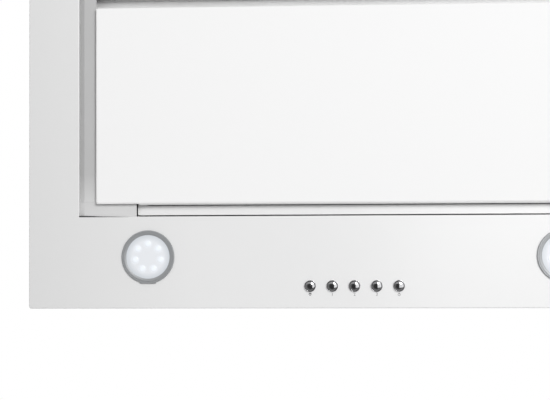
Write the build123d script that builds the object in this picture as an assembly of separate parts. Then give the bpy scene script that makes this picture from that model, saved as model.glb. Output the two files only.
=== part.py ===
"""Built-in range hood insert with edge suction, in millimetres, +Z up, hung face down in a canopy.

The origin is the centre of the lowest face, the underside of the suction panel. The front,
with the lamps and push buttons, faces -Y. Left and right are the hood's own, seen by the cook:
right is +X.
"""

import os
from math import acos, cos, degrees, pi, radians, sin, sqrt

from build123d import *

# ---------------------------------------------------------------- driving dimensions
# Face frame, one pressed and painted steel sheet
FRAME_WIDTH = 525.0
FRAME_DEPTH = 290.0
SIDE_RAIL = 41.0
FRONT_RAIL = 74.0
REAR_RAIL = 36.0
FRAME_SHEET = 1.2
SKIRT_HEIGHT = 8.0
LIP_HEIGHT = 16.0
LIP_RETURN = 3.0
FRAME_CORNER = 2.0
FRAME_EDGE_ROUND = 0.8
PANEL_DROP = 4.0  # the panel's underside hangs this far below the frame's face

# Suction panel
GLASS_THICKNESS = 4.0
SIDE_SLOT = 15.0
FRONT_SLOT = 10.7
REAR_SLOT = 12.0
GLASS_CORNER = 1.5
GLASS_ARRIS = 0.5
CARRIER_INSET = 20.0
CARRIER_HEIGHT = 7.0
CARRIER_SHEET = 1.0

# Body sheets
SIDE_OVERLAP = 16.5  # from the frame's edge to the body
FRONT_OVERLAP = 8.0
REAR_OVERLAP = 16.5
BODY_SHEET = 1.0
BODY_HEIGHT = 168.0  # from the face frame's back to the top sheet
FRONT_WALL_HEIGHT = 82.0
FLANGE = 11.0
CORNER_GAP = 0.3

# Duct collar and its non-return flaps
COLLAR_RADIUS = 75.0
COLLAR_WALL = 2.5
COLLAR_HEIGHT = 54.0
COLLAR_FLANGE = 10.0
COLLAR_FLANGE_THICKNESS = 3.0
COLLAR_OFFSET = 24.5  # behind the wheel's axis
FLAP_PIN_RADIUS = 1.5
FLAP_PIN_RISE = 9.0  # above the collar's base
FLAP_THICKNESS = 1.2
FLAP_RIM_CLEARANCE = 1.2
KNUCKLE_WALL = 1.4

# Blower
WHEEL_RADIUS = 50.0
WHEEL_HALF_WIDTH = 46.0
WHEEL_DISC = 2.0
BLADE_COUNT = 30
BLADE_DEPTH = 9.0
BLADE_THICKNESS = 1.2
BLADE_ANGLE = 35.0
SHAFT_RADIUS = 4.0
AXIS_FORWARD = 1.0  # from the filter's middle forward to the wheel's axis
AXIS_LIFT = 0.9  # of the axis above midway between the filter and the body's top
WHEEL_TIP_GAP = 7.0  # from the wheel to the tongue
WHEEL_SIDE_GAP = 4.0
SCROLL_GROWTH = 5.5  # added to the scroll's radius at each quarter turn
SCROLL_WALL = 2.0
INLET_STEP = 7.0  # from the wheel's rim in to the inlet's
MOTOR_RADIUS = 33.0
MOTOR_LENGTH = 70.0

# Grease filter
FILTER_SIDE_MARGIN = 47.5  # from the opening's side to the filter
FILTER_END_MARGIN = 31.0
FILTER_THICKNESS = 10.0
FILTER_RIM = 9.0
FILTER_GAP = 1.0  # round the filter, in the tray's hole
FILTER_SKIN = 0.6
MESH_COLUMNS = 24
MESH_ROWS = 9
MESH_RIB = 2.4

# Lamps
LAMP_FROM_SIDE = 97.0
LAMP_FROM_FRONT = 41.5
LAMP_RADIUS = 21.3
LAMP_RING = 4.1
LAMP_PROUD = 1.6
LAMP_TAB = 12.6  # width of the square-ended tab on the ring's front edge
LAMP_WALL = 1.4
LENS_THICKNESS = 1.6
LED_COUNT = 7
LED_CIRCLE = 10.4
LED_SIZE = 2.6

# Push buttons
BUTTON_COUNT = 5
BUTTON_PITCH = 17.7
BUTTON_FROM_FRONT = 17.8
BUTTON_RING_RADIUS = 5.0
BUTTON_CAP_RADIUS = 3.7
BUTTON_GAP = 0.25
BUTTON_RING_PROUD = 1.3
BUTTON_CAP_PROUD = 2.6
BUTTON_CROWN = 0.9
BUTTON_TRAVEL = 2.5
SWITCH_END = 16.0  # beyond the last button's axis
SWITCH_BEHIND = 8.0  # behind the buttons' axes
SWITCH_ROOF = 10.0

SCREW_HEAD_RADIUS = 3.4
SCREW_HEAD_HEIGHT = 2.0
SCREW_RADIUS = 1.6
RECESS_HALF = 2.0
RECESS_WIDTH = 0.8
RECESS_DEPTH = 0.9
SEAT_GAP = 0.3  # between pieces that nearly touch but move past each other

# ---------------------------------------------------------------- sizes worked out from them
FACE_Z = PANEL_DROP
FACE_BACK = FACE_Z + FRAME_SHEET
SEAT_Z = FACE_Z + SKIRT_HEIGHT
OPEN_HALF = FRAME_WIDTH / 2 - SIDE_RAIL
OPEN_FRONT = -FRAME_DEPTH / 2 + FRONT_RAIL
OPEN_REAR = FRAME_DEPTH / 2 - REAR_RAIL
LIP_TOP = FACE_Z + LIP_HEIGHT
GLASS_HALF = OPEN_HALF - SIDE_SLOT
GLASS_FRONT = OPEN_FRONT + FRONT_SLOT
GLASS_REAR = OPEN_REAR - REAR_SLOT
BODY_TOP = FACE_BACK + BODY_HEIGHT
BODY_HALF = FRAME_WIDTH / 2 - SIDE_OVERLAP
BODY_FRONT = -FRAME_DEPTH / 2 + FRONT_OVERLAP
BODY_REAR = FRAME_DEPTH / 2 - REAR_OVERLAP
SLOPE_START_Z = FACE_BACK + FRONT_WALL_HEIGHT
SLOPE_RUN = BODY_TOP - SLOPE_START_Z
TOP_FRONT = BODY_FRONT + SLOPE_RUN
SCROLL_START = WHEEL_RADIUS + WHEEL_TIP_GAP
SCROLL_HALF_WIDTH = WHEEL_HALF_WIDTH + WHEEL_SIDE_GAP + SCROLL_WALL
INLET_RADIUS = WHEEL_RADIUS - INLET_STEP
LAMP_X = FRAME_WIDTH / 2 - LAMP_FROM_SIDE
LAMP_Y = -FRAME_DEPTH / 2 + LAMP_FROM_FRONT
BUTTON_Y = -FRAME_DEPTH / 2 + BUTTON_FROM_FRONT
BUTTON_X = [(i - (BUTTON_COUNT - 1) / 2) * BUTTON_PITCH for i in range(BUTTON_COUNT)]
SWITCH_HALF = (BUTTON_COUNT - 1) / 2 * BUTTON_PITCH + SWITCH_END


# ---------------------------------------------------------------- small helpers
def block(x0, x1, y0, y1, z0, z1):
    """A box between two corners."""
    size = Box(x1 - x0, y1 - y0, z1 - z0)
    return Pos((x0 + x1) / 2, (y0 + y1) / 2, (z0 + z1) / 2) * size


def disc(radius, z0, z1, x=0.0, y=0.0):
    """An upright cylinder from z0 to z1."""
    return Pos(x, y, (z0 + z1) / 2) * Cylinder(radius, z1 - z0)


def rod_x(radius, x0, x1, y, z):
    """A cylinder along X."""
    return Pos((x0 + x1) / 2, y, z) * Rot(0, 90, 0) * Cylinder(radius, x1 - x0)


def rod_y(radius, y0, y1, x, z):
    """A cylinder along Y."""
    return Pos(x, (y0 + y1) / 2, z) * Rot(90, 0, 0) * Cylinder(radius, y1 - y0)


def prism_x(points, x0, x1):
    """An outline of (y, z) points, extruded from x0 to x1."""
    face = make_face(Polyline(*[(x0, y, z) for y, z in points], close=True))
    return extrude(face, amount=x1 - x0, dir=(1, 0, 0))


def save(name, *solids):
    """Writes one named sub-part, of one or more separate solids."""
    os.makedirs("parts", exist_ok=True)
    found = [s for shape in solids for s in shape.solids()]
    whole = found[0] if len(found) == 1 else Compound(children=found)
    whole.label = name
    export_step(whole, f"parts/{name}.step")


def pan_screw(x, y, z, length):
    """A cross-head screw, its head standing on z and its shank going down from there."""
    top = z + SCREW_HEAD_HEIGHT
    screw = disc(SCREW_HEAD_RADIUS, z, top, x, y) + disc(SCREW_RADIUS, z - length, z, x, y)
    for half_x, half_y in ((RECESS_HALF, RECESS_WIDTH / 2), (RECESS_WIDTH / 2, RECESS_HALF)):
        screw -= block(x - half_x, x + half_x, y - half_y, y + half_y, top - RECESS_DEPTH, top)
    return screw


# ---------------------------------------------------------------- face frame, tray and strip
LENS_GRIP = 0.5  # the lens reaches this far over the ring's lip
LAMP_NECK_WALL = 1.5
LENS_RADIUS = LAMP_RADIUS - LAMP_RING
LAMP_BORE = LENS_RADIUS + LENS_GRIP
LAMP_NECK_RADIUS = LAMP_BORE + LAMP_NECK_WALL
LAMP_HOLE_CLEARANCE = 0.2
RING_NECK_WALL = 0.65
RING_NECK_RADIUS = BUTTON_CAP_RADIUS + BUTTON_GAP + RING_NECK_WALL

STRIP_FROM_END = 47.5  # from the opening's side to the strip's end
STRIP_WIDTH = 7.5
STRIP_SHEET = 1.0
STRIP_SEAM = 1.0  # dark joint between the strip and the face frame
STRIP_END_SEAM = 0.9
STRIP_END_GAP = 2.6  # from the strip's end to the tray's dark joint
STRIP_RECESS = 3.5  # above the frame's face
STRIP_TIP = 0.4
STRIP_FLANGE = 7.0
STRIP_HALF = OPEN_HALF - STRIP_FROM_END
STRIP_FRONT = OPEN_FRONT + STRIP_SEAM
STRIP_REAR = STRIP_FRONT + STRIP_WIDTH
STRIP_Z = FACE_Z + STRIP_RECESS
STRIP_TAPER = STRIP_WIDTH - STRIP_TIP

TRAY_SHEET = 1.0
TRAY_TOP = LIP_TOP + TRAY_SHEET
FILTER_Y = (OPEN_FRONT + OPEN_REAR) / 2
FILTER_FRONT = OPEN_FRONT + FILTER_END_MARGIN
FILTER_REAR = OPEN_REAR - FILTER_END_MARGIN
FILTER_HALF = OPEN_HALF - FILTER_SIDE_MARGIN
FILTER_SINK = 3.0  # the filter's underside below the tray's
FILTER_Z = LIP_TOP - FILTER_SINK
FILTER_TOP = FILTER_Z + FILTER_THICKNESS
AXIS_Y = FILTER_Y - AXIS_FORWARD
AXIS_Z = (FILTER_TOP + BODY_TOP) / 2 + AXIS_LIFT
COLLAR_Y = AXIS_Y + COLLAR_OFFSET

STUD_RADIUS = 2.0
STUD_HEIGHT = 9.0
NUT_FLATS = 7.0
NUT_HEIGHT = 3.2
STUD_INSET = 6.0  # from the body's outside
STUD_HOLE_CLEARANCE = 0.3
STUD_COLUMNS = 4
STUD_END = 30.0  # from the body's corner to its first stud

RIVET_RADIUS = 1.6
RIVET_HEAD_RADIUS = 3.0
RIVET_HEAD = 1.0
RIVET_COUNT = 6
RIVET_END = 20.0


def stud_places():
    """Weld studs round the face frame that hold the body's bottom flanges."""
    span = BODY_HALF - STUD_END
    row = [-span + 2 * span * i / (STUD_COLUMNS - 1) for i in range(STUD_COLUMNS)]
    side = [BODY_FRONT + STUD_END, BODY_REAR - STUD_END]
    ends = [BODY_FRONT + STUD_INSET, BODY_REAR - STUD_INSET]
    along = [(x, y) for y in ends for x in row]
    return along + [(s * (BODY_HALF - STUD_INSET), y) for s in (-1, 1) for y in side]


def opening(inset, z0, z1):
    """The frame's opening as a block, drawn in by inset."""
    return block(
        -OPEN_HALF + inset, OPEN_HALF - inset, OPEN_FRONT + inset, OPEN_REAR - inset, z0, z1
    )


def face_frame():
    """The visible frame: a pressed sheet with a skirt outside and a lip round the opening."""
    pan = block(-FRAME_WIDTH / 2, FRAME_WIDTH / 2, -FRAME_DEPTH / 2, FRAME_DEPTH / 2, FACE_Z, SEAT_Z)
    pan = fillet(pan.edges().filter_by(Axis.Z), FRAME_CORNER)
    pan = fillet(pan.faces().sort_by(Axis.Z)[0].edges(), FRAME_EDGE_ROUND)
    half_x, half_y = FRAME_WIDTH / 2 - FRAME_SHEET, FRAME_DEPTH / 2 - FRAME_SHEET
    frame = pan - block(-half_x, half_x, -half_y, half_y, FACE_BACK, SEAT_Z)
    frame += opening(-FRAME_SHEET, FACE_Z, LIP_TOP)
    hole = opening(0, FACE_Z, LIP_TOP - FRAME_SHEET) + opening(LIP_RETURN, FACE_Z, LIP_TOP)
    frame -= hole
    rim = [
        e
        for e in frame.edges().filter_by(GeomType.LINE)
        if abs(e.center().Z - FACE_Z) < 1e-6
        and abs(e.center().X) <= OPEN_HALF + 1e-6
        and OPEN_FRONT - 1e-6 <= e.center().Y <= OPEN_REAR + 1e-6
    ]
    frame = fillet(rim, FRAME_EDGE_ROUND)
    seam_half = STRIP_HALF + STRIP_END_GAP + STRIP_END_SEAM
    frame -= block(
        -seam_half, seam_half, OPEN_FRONT, OPEN_FRONT + LIP_RETURN, LIP_TOP - FRAME_SHEET, LIP_TOP
    )
    for side in (-1, 1):
        neck = LAMP_NECK_RADIUS + LAMP_HOLE_CLEARANCE
        frame -= disc(neck, FACE_Z, FACE_BACK, side * LAMP_X, LAMP_Y)
    for x in BUTTON_X:
        frame -= disc(RING_NECK_RADIUS, FACE_Z, FACE_BACK, x, BUTTON_Y)
    for x, y in stud_places():
        frame += disc(STUD_RADIUS, FACE_BACK, FACE_BACK + STUD_HEIGHT, x, y)
    save("face_frame", frame)


def flange_nuts():
    """Hexagon nuts on the weld studs, over the body's flanges."""
    z0 = FACE_BACK + BODY_SHEET
    nuts = []
    for x, y in stud_places():
        hexagon = extrude(RegularPolygon(NUT_FLATS / 2, 6, major_radius=False), NUT_HEIGHT)
        nuts.append(Pos(x, y, z0) * hexagon - disc(STUD_RADIUS, z0, z0 + NUT_HEIGHT, x, y))
    save("flange_nuts", *nuts)


def intake_tray():
    """The painted sheet over the lip, with the filter's hole, behind the suction slots."""
    tray = opening(-FRAME_SHEET, LIP_TOP, TRAY_TOP)
    tray -= filter_block(-FILTER_GAP, LIP_TOP, TRAY_TOP)
    web_half = STRIP_HALF - STRIP_TAPER
    front = OPEN_FRONT - FRAME_SHEET
    tray -= block(-web_half, web_half, front, STRIP_REAR - STRIP_SHEET, LIP_TOP, TRAY_TOP)
    for side in (-1, 1):
        joint = STRIP_HALF + STRIP_END_GAP
        x0, x1 = sorted((side * joint, side * (joint + STRIP_END_SEAM)))
        tray -= block(x0, x1, OPEN_FRONT, STRIP_REAR + STRIP_FLANGE, LIP_TOP, TRAY_TOP)
    for x, y in rivet_places():
        tray -= disc(RIVET_RADIUS, LIP_TOP, TRAY_TOP, x, y)
    save("intake_tray", tray)


def rivet_places():
    """Where the strip's top flange is riveted under the tray."""
    span = STRIP_HALF - STRIP_TAPER - RIVET_END
    y = STRIP_REAR + STRIP_FLANGE / 2
    return [(-span + 2 * span * i / (RIVET_COUNT - 1), y) for i in range(RIVET_COUNT)]


def front_strip():
    """The folded strip along the front slot, tapered at both ends, that screens the switches."""
    y0, y1, y2 = STRIP_FRONT, STRIP_REAR, STRIP_REAR + STRIP_FLANGE
    t = STRIP_SHEET
    profile = [
        (y0, STRIP_Z),
        (y1, STRIP_Z),
        (y1, LIP_TOP - t),
        (y2, LIP_TOP - t),
        (y2, LIP_TOP),
        (y1 - t, LIP_TOP),
        (y1 - t, STRIP_Z + t),
        (y0, STRIP_Z + t),
    ]
    strip = prism_x(profile, -STRIP_HALF, STRIP_HALF)
    end_top = LIP_TOP - FRAME_SHEET - SEAT_GAP
    for side in (-1, 1):
        x = side * STRIP_HALF
        taper = Polyline(
            (x, y0 + STRIP_TIP),
            (x - side * (STRIP_TAPER + STRIP_FLANGE), y2),
            (x, y2),
            close=True,
        )
        strip -= Pos(0, 0, STRIP_Z) * extrude(make_face(taper), LIP_TOP - STRIP_Z, dir=(0, 0, 1))
        x0, x1 = sorted((x, x - side * t))
        strip += block(x0, x1, y0, y0 + STRIP_TIP + t, STRIP_Z, end_top)
    for x, y in rivet_places():
        strip -= disc(RIVET_RADIUS, LIP_TOP - t, LIP_TOP, x, y)
    save("front_strip", strip)


def strip_rivets():
    """Blind rivets through the strip's flange and the tray."""
    rivets = []
    for x, y in rivet_places():
        shank = disc(RIVET_RADIUS, LIP_TOP - STRIP_SHEET, TRAY_TOP, x, y)
        low = disc(RIVET_HEAD_RADIUS, LIP_TOP - STRIP_SHEET - RIVET_HEAD, LIP_TOP - STRIP_SHEET, x, y)
        high = disc(RIVET_HEAD_RADIUS, TRAY_TOP, TRAY_TOP + RIVET_HEAD, x, y)
        rivets.append(shank + low + high)
    save("strip_rivets", *rivets)


# ---------------------------------------------------------------- body sheets
TOP_SHEET_SCREW_COUNT = 4
TOP_LAP = 12.0
RIVET_LINE = FLANGE / 2
SIDE_RIVET_COUNT = 3
SCREW_HOLE_RADIUS = 2.5  # for the screws into the canopy's sides
SCREW_HOLE_SPACING = 160.0
SCREW_HOLE_RISE = 22.0  # above the frame's seat
SCREW_HOLE_Z = SEAT_Z + SCREW_HOLE_RISE
FOOT_NOTCH = 2.0  # round the switches
BEND = sqrt(2) - 1  # tangent of a quarter of a right angle


def front_profile(t):
    """The front sheet's inner line at depth t, from its foot to its lap under the top sheet."""
    return [
        (BODY_FRONT + t, FACE_BACK + BODY_SHEET),
        (BODY_FRONT + t, SLOPE_START_Z - BEND * t),
        (TOP_FRONT + BEND * t, BODY_TOP - t),
        (TOP_FRONT + TOP_LAP, BODY_TOP - t),
    ]


def front_sheet():
    """Front wall, slope and lap, folded from one sheet with flanges at both ends."""
    t = BODY_SHEET
    half = BODY_HALF - t
    outer = [(BODY_FRONT, FACE_BACK)] + front_profile(0)[1:]
    inner = front_profile(t)[::-1]
    foot = [(BODY_FRONT + FLANGE, FACE_BACK + t), (BODY_FRONT + FLANGE, FACE_BACK)]
    sheet = prism_x(outer + inner + foot, -half, half)
    rim = front_profile(t) + front_profile(FLANGE)[::-1]
    for x0, x1 in ((-half, -half + t), (half - t, half)):
        sheet += prism_x(rim, x0, x1)
    notch = SWITCH_HALF + FOOT_NOTCH
    sheet -= block(-notch, notch, BODY_FRONT + t, BODY_FRONT + FLANGE, FACE_BACK, FACE_BACK + t)
    for x, y in stud_places():
        if y < BODY_FRONT + FLANGE and abs(x) < half:
            sheet -= disc(STUD_RADIUS + STUD_HOLE_CLEARANCE, FACE_BACK, FACE_BACK + t, x, y)
    save("front_sheet", sheet)


def rear_sheet():
    """Rear wall with flanges all round."""
    t = BODY_SHEET
    half = BODY_HALF - t
    sheet = block(-half, half, BODY_REAR - FLANGE, BODY_REAR, FACE_BACK, BODY_TOP)
    sheet -= block(-half + t, half - t, BODY_REAR - FLANGE, BODY_REAR - t, FACE_BACK + t, BODY_TOP - t)
    for x, y in stud_places():
        if y > BODY_REAR - FLANGE and abs(x) < half:
            sheet -= disc(STUD_RADIUS + STUD_HOLE_CLEARANCE, FACE_BACK, FACE_BACK + t, x, y)
    save("rear_sheet", sheet)


def side_outline():
    """The side wall's outline in (y, z)."""
    return [
        (BODY_FRONT, FACE_BACK),
        (BODY_REAR, FACE_BACK),
        (BODY_REAR, BODY_TOP),
        (TOP_FRONT, BODY_TOP),
        (BODY_FRONT, SLOPE_START_Z),
    ]


def side_sheets():
    """Left and right walls, each with a foot, a top flange and two screw holes."""
    t = BODY_SHEET
    for name, side in (("left_side_sheet", -1), ("right_side_sheet", 1)):
        x0, x1 = sorted((side * BODY_HALF, side * (BODY_HALF - t)))
        f0, f1 = sorted((side * BODY_HALF, side * (BODY_HALF - FLANGE)))
        sheet = prism_x(side_outline(), x0, x1)
        low = BODY_FRONT + FLANGE + CORNER_GAP
        high = BODY_REAR - FLANGE - CORNER_GAP
        sheet += block(f0, f1, low, high, FACE_BACK, FACE_BACK + t)
        sheet += block(f0, f1, TOP_FRONT + TOP_LAP + CORNER_GAP, high, BODY_TOP - t, BODY_TOP)
        for k in (-1, 1):
            sheet -= rod_x(SCREW_HOLE_RADIUS, x0, x1, k * SCREW_HOLE_SPACING / 2, SCREW_HOLE_Z)
        for x, y in stud_places():
            if side * x > BODY_HALF - FLANGE:
                sheet -= disc(STUD_RADIUS + STUD_HOLE_CLEARANCE, FACE_BACK, FACE_BACK + t, x, y)
        for y, z in side_rivet_places():
            sheet -= rod_x(RIVET_RADIUS, x0, x1, y, z)
        save(name, sheet)


def side_rivet_places():
    """Rivets through the side wall and the front and rear sheets' end flanges, as (y, z)."""
    low, wall_top = FACE_BACK + STUD_END, SLOPE_START_Z - FLANGE
    front = [(BODY_FRONT + RIVET_LINE + BODY_SHEET, z) for z in (low, wall_top)]
    middle = SLOPE_RUN / 2
    inward = (RIVET_LINE + BODY_SHEET) / sqrt(2)
    slope = [(BODY_FRONT + middle + inward, SLOPE_START_Z + middle - inward)]
    high = BODY_TOP - FLANGE
    rear_z = [low + (high - low) * i / (SIDE_RIVET_COUNT - 1) for i in range(SIDE_RIVET_COUNT)]
    return front + slope + [(BODY_REAR - RIVET_LINE - BODY_SHEET, z) for z in rear_z]


def side_rivets():
    """The rivets' domed heads and shanks, both sides."""
    rivets = []
    for side in (-1, 1):
        face, back = side * BODY_HALF, side * (BODY_HALF - BODY_SHEET)
        for y, z in side_rivet_places():
            head = rod_x(RIVET_HEAD_RADIUS, *sorted((face, face + side * RIVET_HEAD)), y, z)
            shank = rod_x(RIVET_RADIUS, *sorted((face, back)), y, z)
            rivets.append(head + shank)
    save("side_rivets", *rivets)


def top_screw_places():
    """Screws that hold the top sheet to the laps and flanges below it."""
    span = BODY_HALF - RIVET_LINE - BODY_SHEET
    steps = [-span + 2 * span * i / (TOP_SHEET_SCREW_COUNT - 1) for i in range(TOP_SHEET_SCREW_COUNT)]
    return [(x, y) for y in (TOP_FRONT + TOP_LAP / 2, BODY_REAR - FLANGE / 2) for x in steps]


def top_sheet():
    """The flat top, with the duct hole."""
    z1 = BODY_TOP + BODY_SHEET
    sheet = block(-BODY_HALF, BODY_HALF, TOP_FRONT, BODY_REAR, BODY_TOP, z1)
    sheet -= duct_hole(BODY_TOP, z1)
    for x, y in top_screw_places() + collar_screw_places() + box_screw_places():
        sheet -= disc(SCREW_RADIUS, BODY_TOP, z1, x, y)
    sheet -= disc(GROMMET_RADIUS, BODY_TOP, z1, BOX_X, BOX_Y)
    save("top_sheet", sheet)
    heads = [pan_screw(x, y, z1, BODY_SHEET) for x, y in top_screw_places()]
    save("top_sheet_screws", *heads)


# ---------------------------------------------------------------- duct collar and flaps
COLLAR_SCREW_CIRCLE = COLLAR_RADIUS + COLLAR_FLANGE / 2
COLLAR_SCREWS = 4
LEDGE_WIDTH = 2.4
LEDGE_HEIGHT = 2.0
PIN_CLEARANCE = 0.05
KNUCKLE_LENGTH = 24.0
KNUCKLE_SPACING = 26.0
COLLAR_BASE = BODY_TOP + BODY_SHEET
COLLAR_INNER = COLLAR_RADIUS - COLLAR_WALL
PIN_Z = COLLAR_BASE + FLAP_PIN_RISE
KNUCKLE_RADIUS = FLAP_PIN_RADIUS + PIN_CLEARANCE + KNUCKLE_WALL


def collar_screw_places():
    """The collar's screws, at 45 degrees to the axes."""
    turn = [pi / COLLAR_SCREWS + i * 2 * pi / COLLAR_SCREWS for i in range(COLLAR_SCREWS)]
    return [(COLLAR_SCREW_CIRCLE * cos(a), COLLAR_Y + COLLAR_SCREW_CIRCLE * sin(a)) for a in turn]


def outlet_collar():
    """Moulded spigot for a round duct, with a ledge that the flaps rest on."""
    top = COLLAR_BASE + COLLAR_HEIGHT
    base_top = COLLAR_BASE + COLLAR_FLANGE_THICKNESS
    collar = disc(COLLAR_RADIUS + COLLAR_FLANGE, COLLAR_BASE, base_top, 0, COLLAR_Y)
    collar += disc(COLLAR_RADIUS, COLLAR_BASE, top, 0, COLLAR_Y)
    collar -= disc(COLLAR_INNER, COLLAR_BASE, top, 0, COLLAR_Y)
    ledge_top = PIN_Z - FLAP_THICKNESS / 2 - SEAT_GAP
    ledge = disc(COLLAR_INNER, ledge_top - LEDGE_HEIGHT, ledge_top, 0, COLLAR_Y)
    ledge -= disc(COLLAR_INNER - LEDGE_WIDTH, ledge_top - LEDGE_HEIGHT, ledge_top, 0, COLLAR_Y)
    collar += ledge
    collar -= rod_x(FLAP_PIN_RADIUS, -COLLAR_RADIUS, COLLAR_RADIUS, COLLAR_Y, PIN_Z)
    clear = KNUCKLE_RADIUS + SEAT_GAP
    collar -= rod_x(clear, -COLLAR_INNER, COLLAR_INNER, COLLAR_Y, PIN_Z)
    for x, y in collar_screw_places():
        collar -= disc(SCREW_RADIUS, COLLAR_BASE, base_top, x, y)
    save("outlet_collar", collar)
    shank = COLLAR_FLANGE_THICKNESS + BODY_SHEET
    save("collar_screws", *[pan_screw(x, y, base_top, shank) for x, y in collar_screw_places()])


def flap_pin():
    """The pin across the collar that both flaps turn on."""
    save("flap_pin", rod_x(FLAP_PIN_RADIUS, -COLLAR_RADIUS, COLLAR_RADIUS, COLLAR_Y, PIN_Z))


def flaps():
    """Two half-round non-return flaps, back to back on the pin, resting on the ledge."""
    radius = COLLAR_INNER - FLAP_RIM_CLEARANCE
    z0, z1 = PIN_Z - FLAP_THICKNESS / 2, PIN_Z + FLAP_THICKNESS / 2
    hinge_gap = KNUCKLE_RADIUS + SEAT_GAP
    bore = FLAP_PIN_RADIUS + PIN_CLEARANCE
    for name, side in (("front_flap", -1), ("rear_flap", 1)):
        y_near = COLLAR_Y + side * hinge_gap
        y_far = COLLAR_Y + side * COLLAR_RADIUS
        half = block(-radius, radius, *sorted((y_near, y_far)), z0, z1)
        flap = disc(radius, z0, z1, 0, COLLAR_Y) & half
        for x in (-1.5 * side * KNUCKLE_SPACING, 0.5 * side * KNUCKLE_SPACING):
            x0, x1 = x - KNUCKLE_LENGTH / 2, x + KNUCKLE_LENGTH / 2
            flap += block(x0, x1, *sorted((COLLAR_Y, y_near)), z0, z1)
            flap += rod_x(KNUCKLE_RADIUS, x0, x1, COLLAR_Y, PIN_Z)
        flap -= rod_x(bore, -radius, radius, COLLAR_Y, PIN_Z)
        save(name, flap)


# ---------------------------------------------------------------- blower
OUTLET_FLANGE_EDGE = 8.0  # beyond the collar's screws
OUTLET_FLANGE_THICKNESS = 2.0
SCROLL_REAR = AXIS_Y + SCROLL_START + 3 * SCROLL_GROWTH
BLADE_EDGE = 1.0  # the blades stop this far inside the wheel's rim
BLADE_LENGTH = (BLADE_DEPTH - 2 * BLADE_EDGE) / cos(radians(BLADE_ANGLE))
HUB_RADIUS = 11.0
HUB_LENGTH = 16.0
END_RING_THICKNESS = 2.0
SHAFT_CLEARANCE = 0.05
SHAFT_GRIP = 34.0  # length of shaft inside the motor
MOTOR_FACE_GAP = 5.0  # from the wheel's disc to the motor's end
MOTOR_CAP_RADIUS = 13.0
MOTOR_CAP_LENGTH = 4.0
MOTOR_BAND = 3.0
MOTOR_BAND_WIDTH = 8.0
ARM_COUNT = 3
ARM_WIDTH = 9.0
ARM_THICKNESS = 4.0
ARM_REACH = 7.0  # past the inlet's edge
INLET_LIP = 3.0


def scroll_outline(inset, x):
    """The scroll's spiral of three quarter arcs, closed by the duct up to the top sheet."""
    r1, r2, r3 = (SCROLL_START + i * SCROLL_GROWTH for i in range(3))
    c1 = (AXIS_Y, AXIS_Z)
    c2 = (AXIS_Y + SCROLL_GROWTH, AXIS_Z)
    c3 = (AXIS_Y + SCROLL_GROWTH, AXIS_Z + SCROLL_GROWTH)

    def at(centre, radius, degrees_round):
        a = radians(degrees_round)
        return (x, centre[0] + (radius - inset) * cos(a), centre[1] + (radius - inset) * sin(a))

    tongue = degrees(acos(inset / (r1 - inset)))
    arcs = [
        ThreePointArc(at(c, r, a0), at(c, r, (a0 + a1) / 2), at(c, r, a1))
        for c, r, a0, a1 in ((c1, r1, tongue, 180), (c2, r2, 180, 270), (c3, r3, 270, 360))
    ]
    rear = (x, c3[0] + r3 - inset, BODY_TOP)
    front = (x, AXIS_Y + inset, BODY_TOP)
    lines = Polyline(at(c3, r3, 360), rear, front, at(c1, r1, tongue))
    return make_face(Wire([e for part in arcs + [lines] for e in part.edges()]))


def duct_hole(z0, z1):
    """The blower outlet's clear opening as a block."""
    half = SCROLL_HALF_WIDTH - SCROLL_WALL
    return block(-half, half, AXIS_Y + SCROLL_WALL, SCROLL_REAR - SCROLL_WALL, z0, z1)


def scroll_halves():
    """The blower's casing, in two moulded halves that meet in the middle."""
    half = SCROLL_HALF_WIDTH
    reach = COLLAR_SCREW_CIRCLE / sqrt(2) + OUTLET_FLANGE_EDGE
    for name, side in (("left_scroll", -1), ("right_scroll", 1)):
        way = (side, 0, 0)
        shell = extrude(scroll_outline(0, 0), half, dir=way)
        shell -= extrude(scroll_outline(SCROLL_WALL, 0), half - SCROLL_WALL, dir=way)
        flange_z = BODY_TOP - OUTLET_FLANGE_THICKNESS
        flange = block(*sorted((0, side * reach)), COLLAR_Y - reach, COLLAR_Y + reach, flange_z, BODY_TOP)
        shell += flange
        shell -= duct_hole(flange_z, BODY_TOP) & flange
        face, lip = side * half, side * (half + INLET_LIP)
        shell += rod_x(INLET_RADIUS + SCROLL_WALL, *sorted((face, lip)), AXIS_Y, AXIS_Z)
        shell -= rod_x(INLET_RADIUS, *sorted((side * WHEEL_HALF_WIDTH, lip)), AXIS_Y, AXIS_Z)
        for x, y in collar_screw_places():
            if side * x > 0:
                shell -= disc(SCREW_RADIUS, flange_z, BODY_TOP, x, y)
        save(name, shell)


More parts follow.
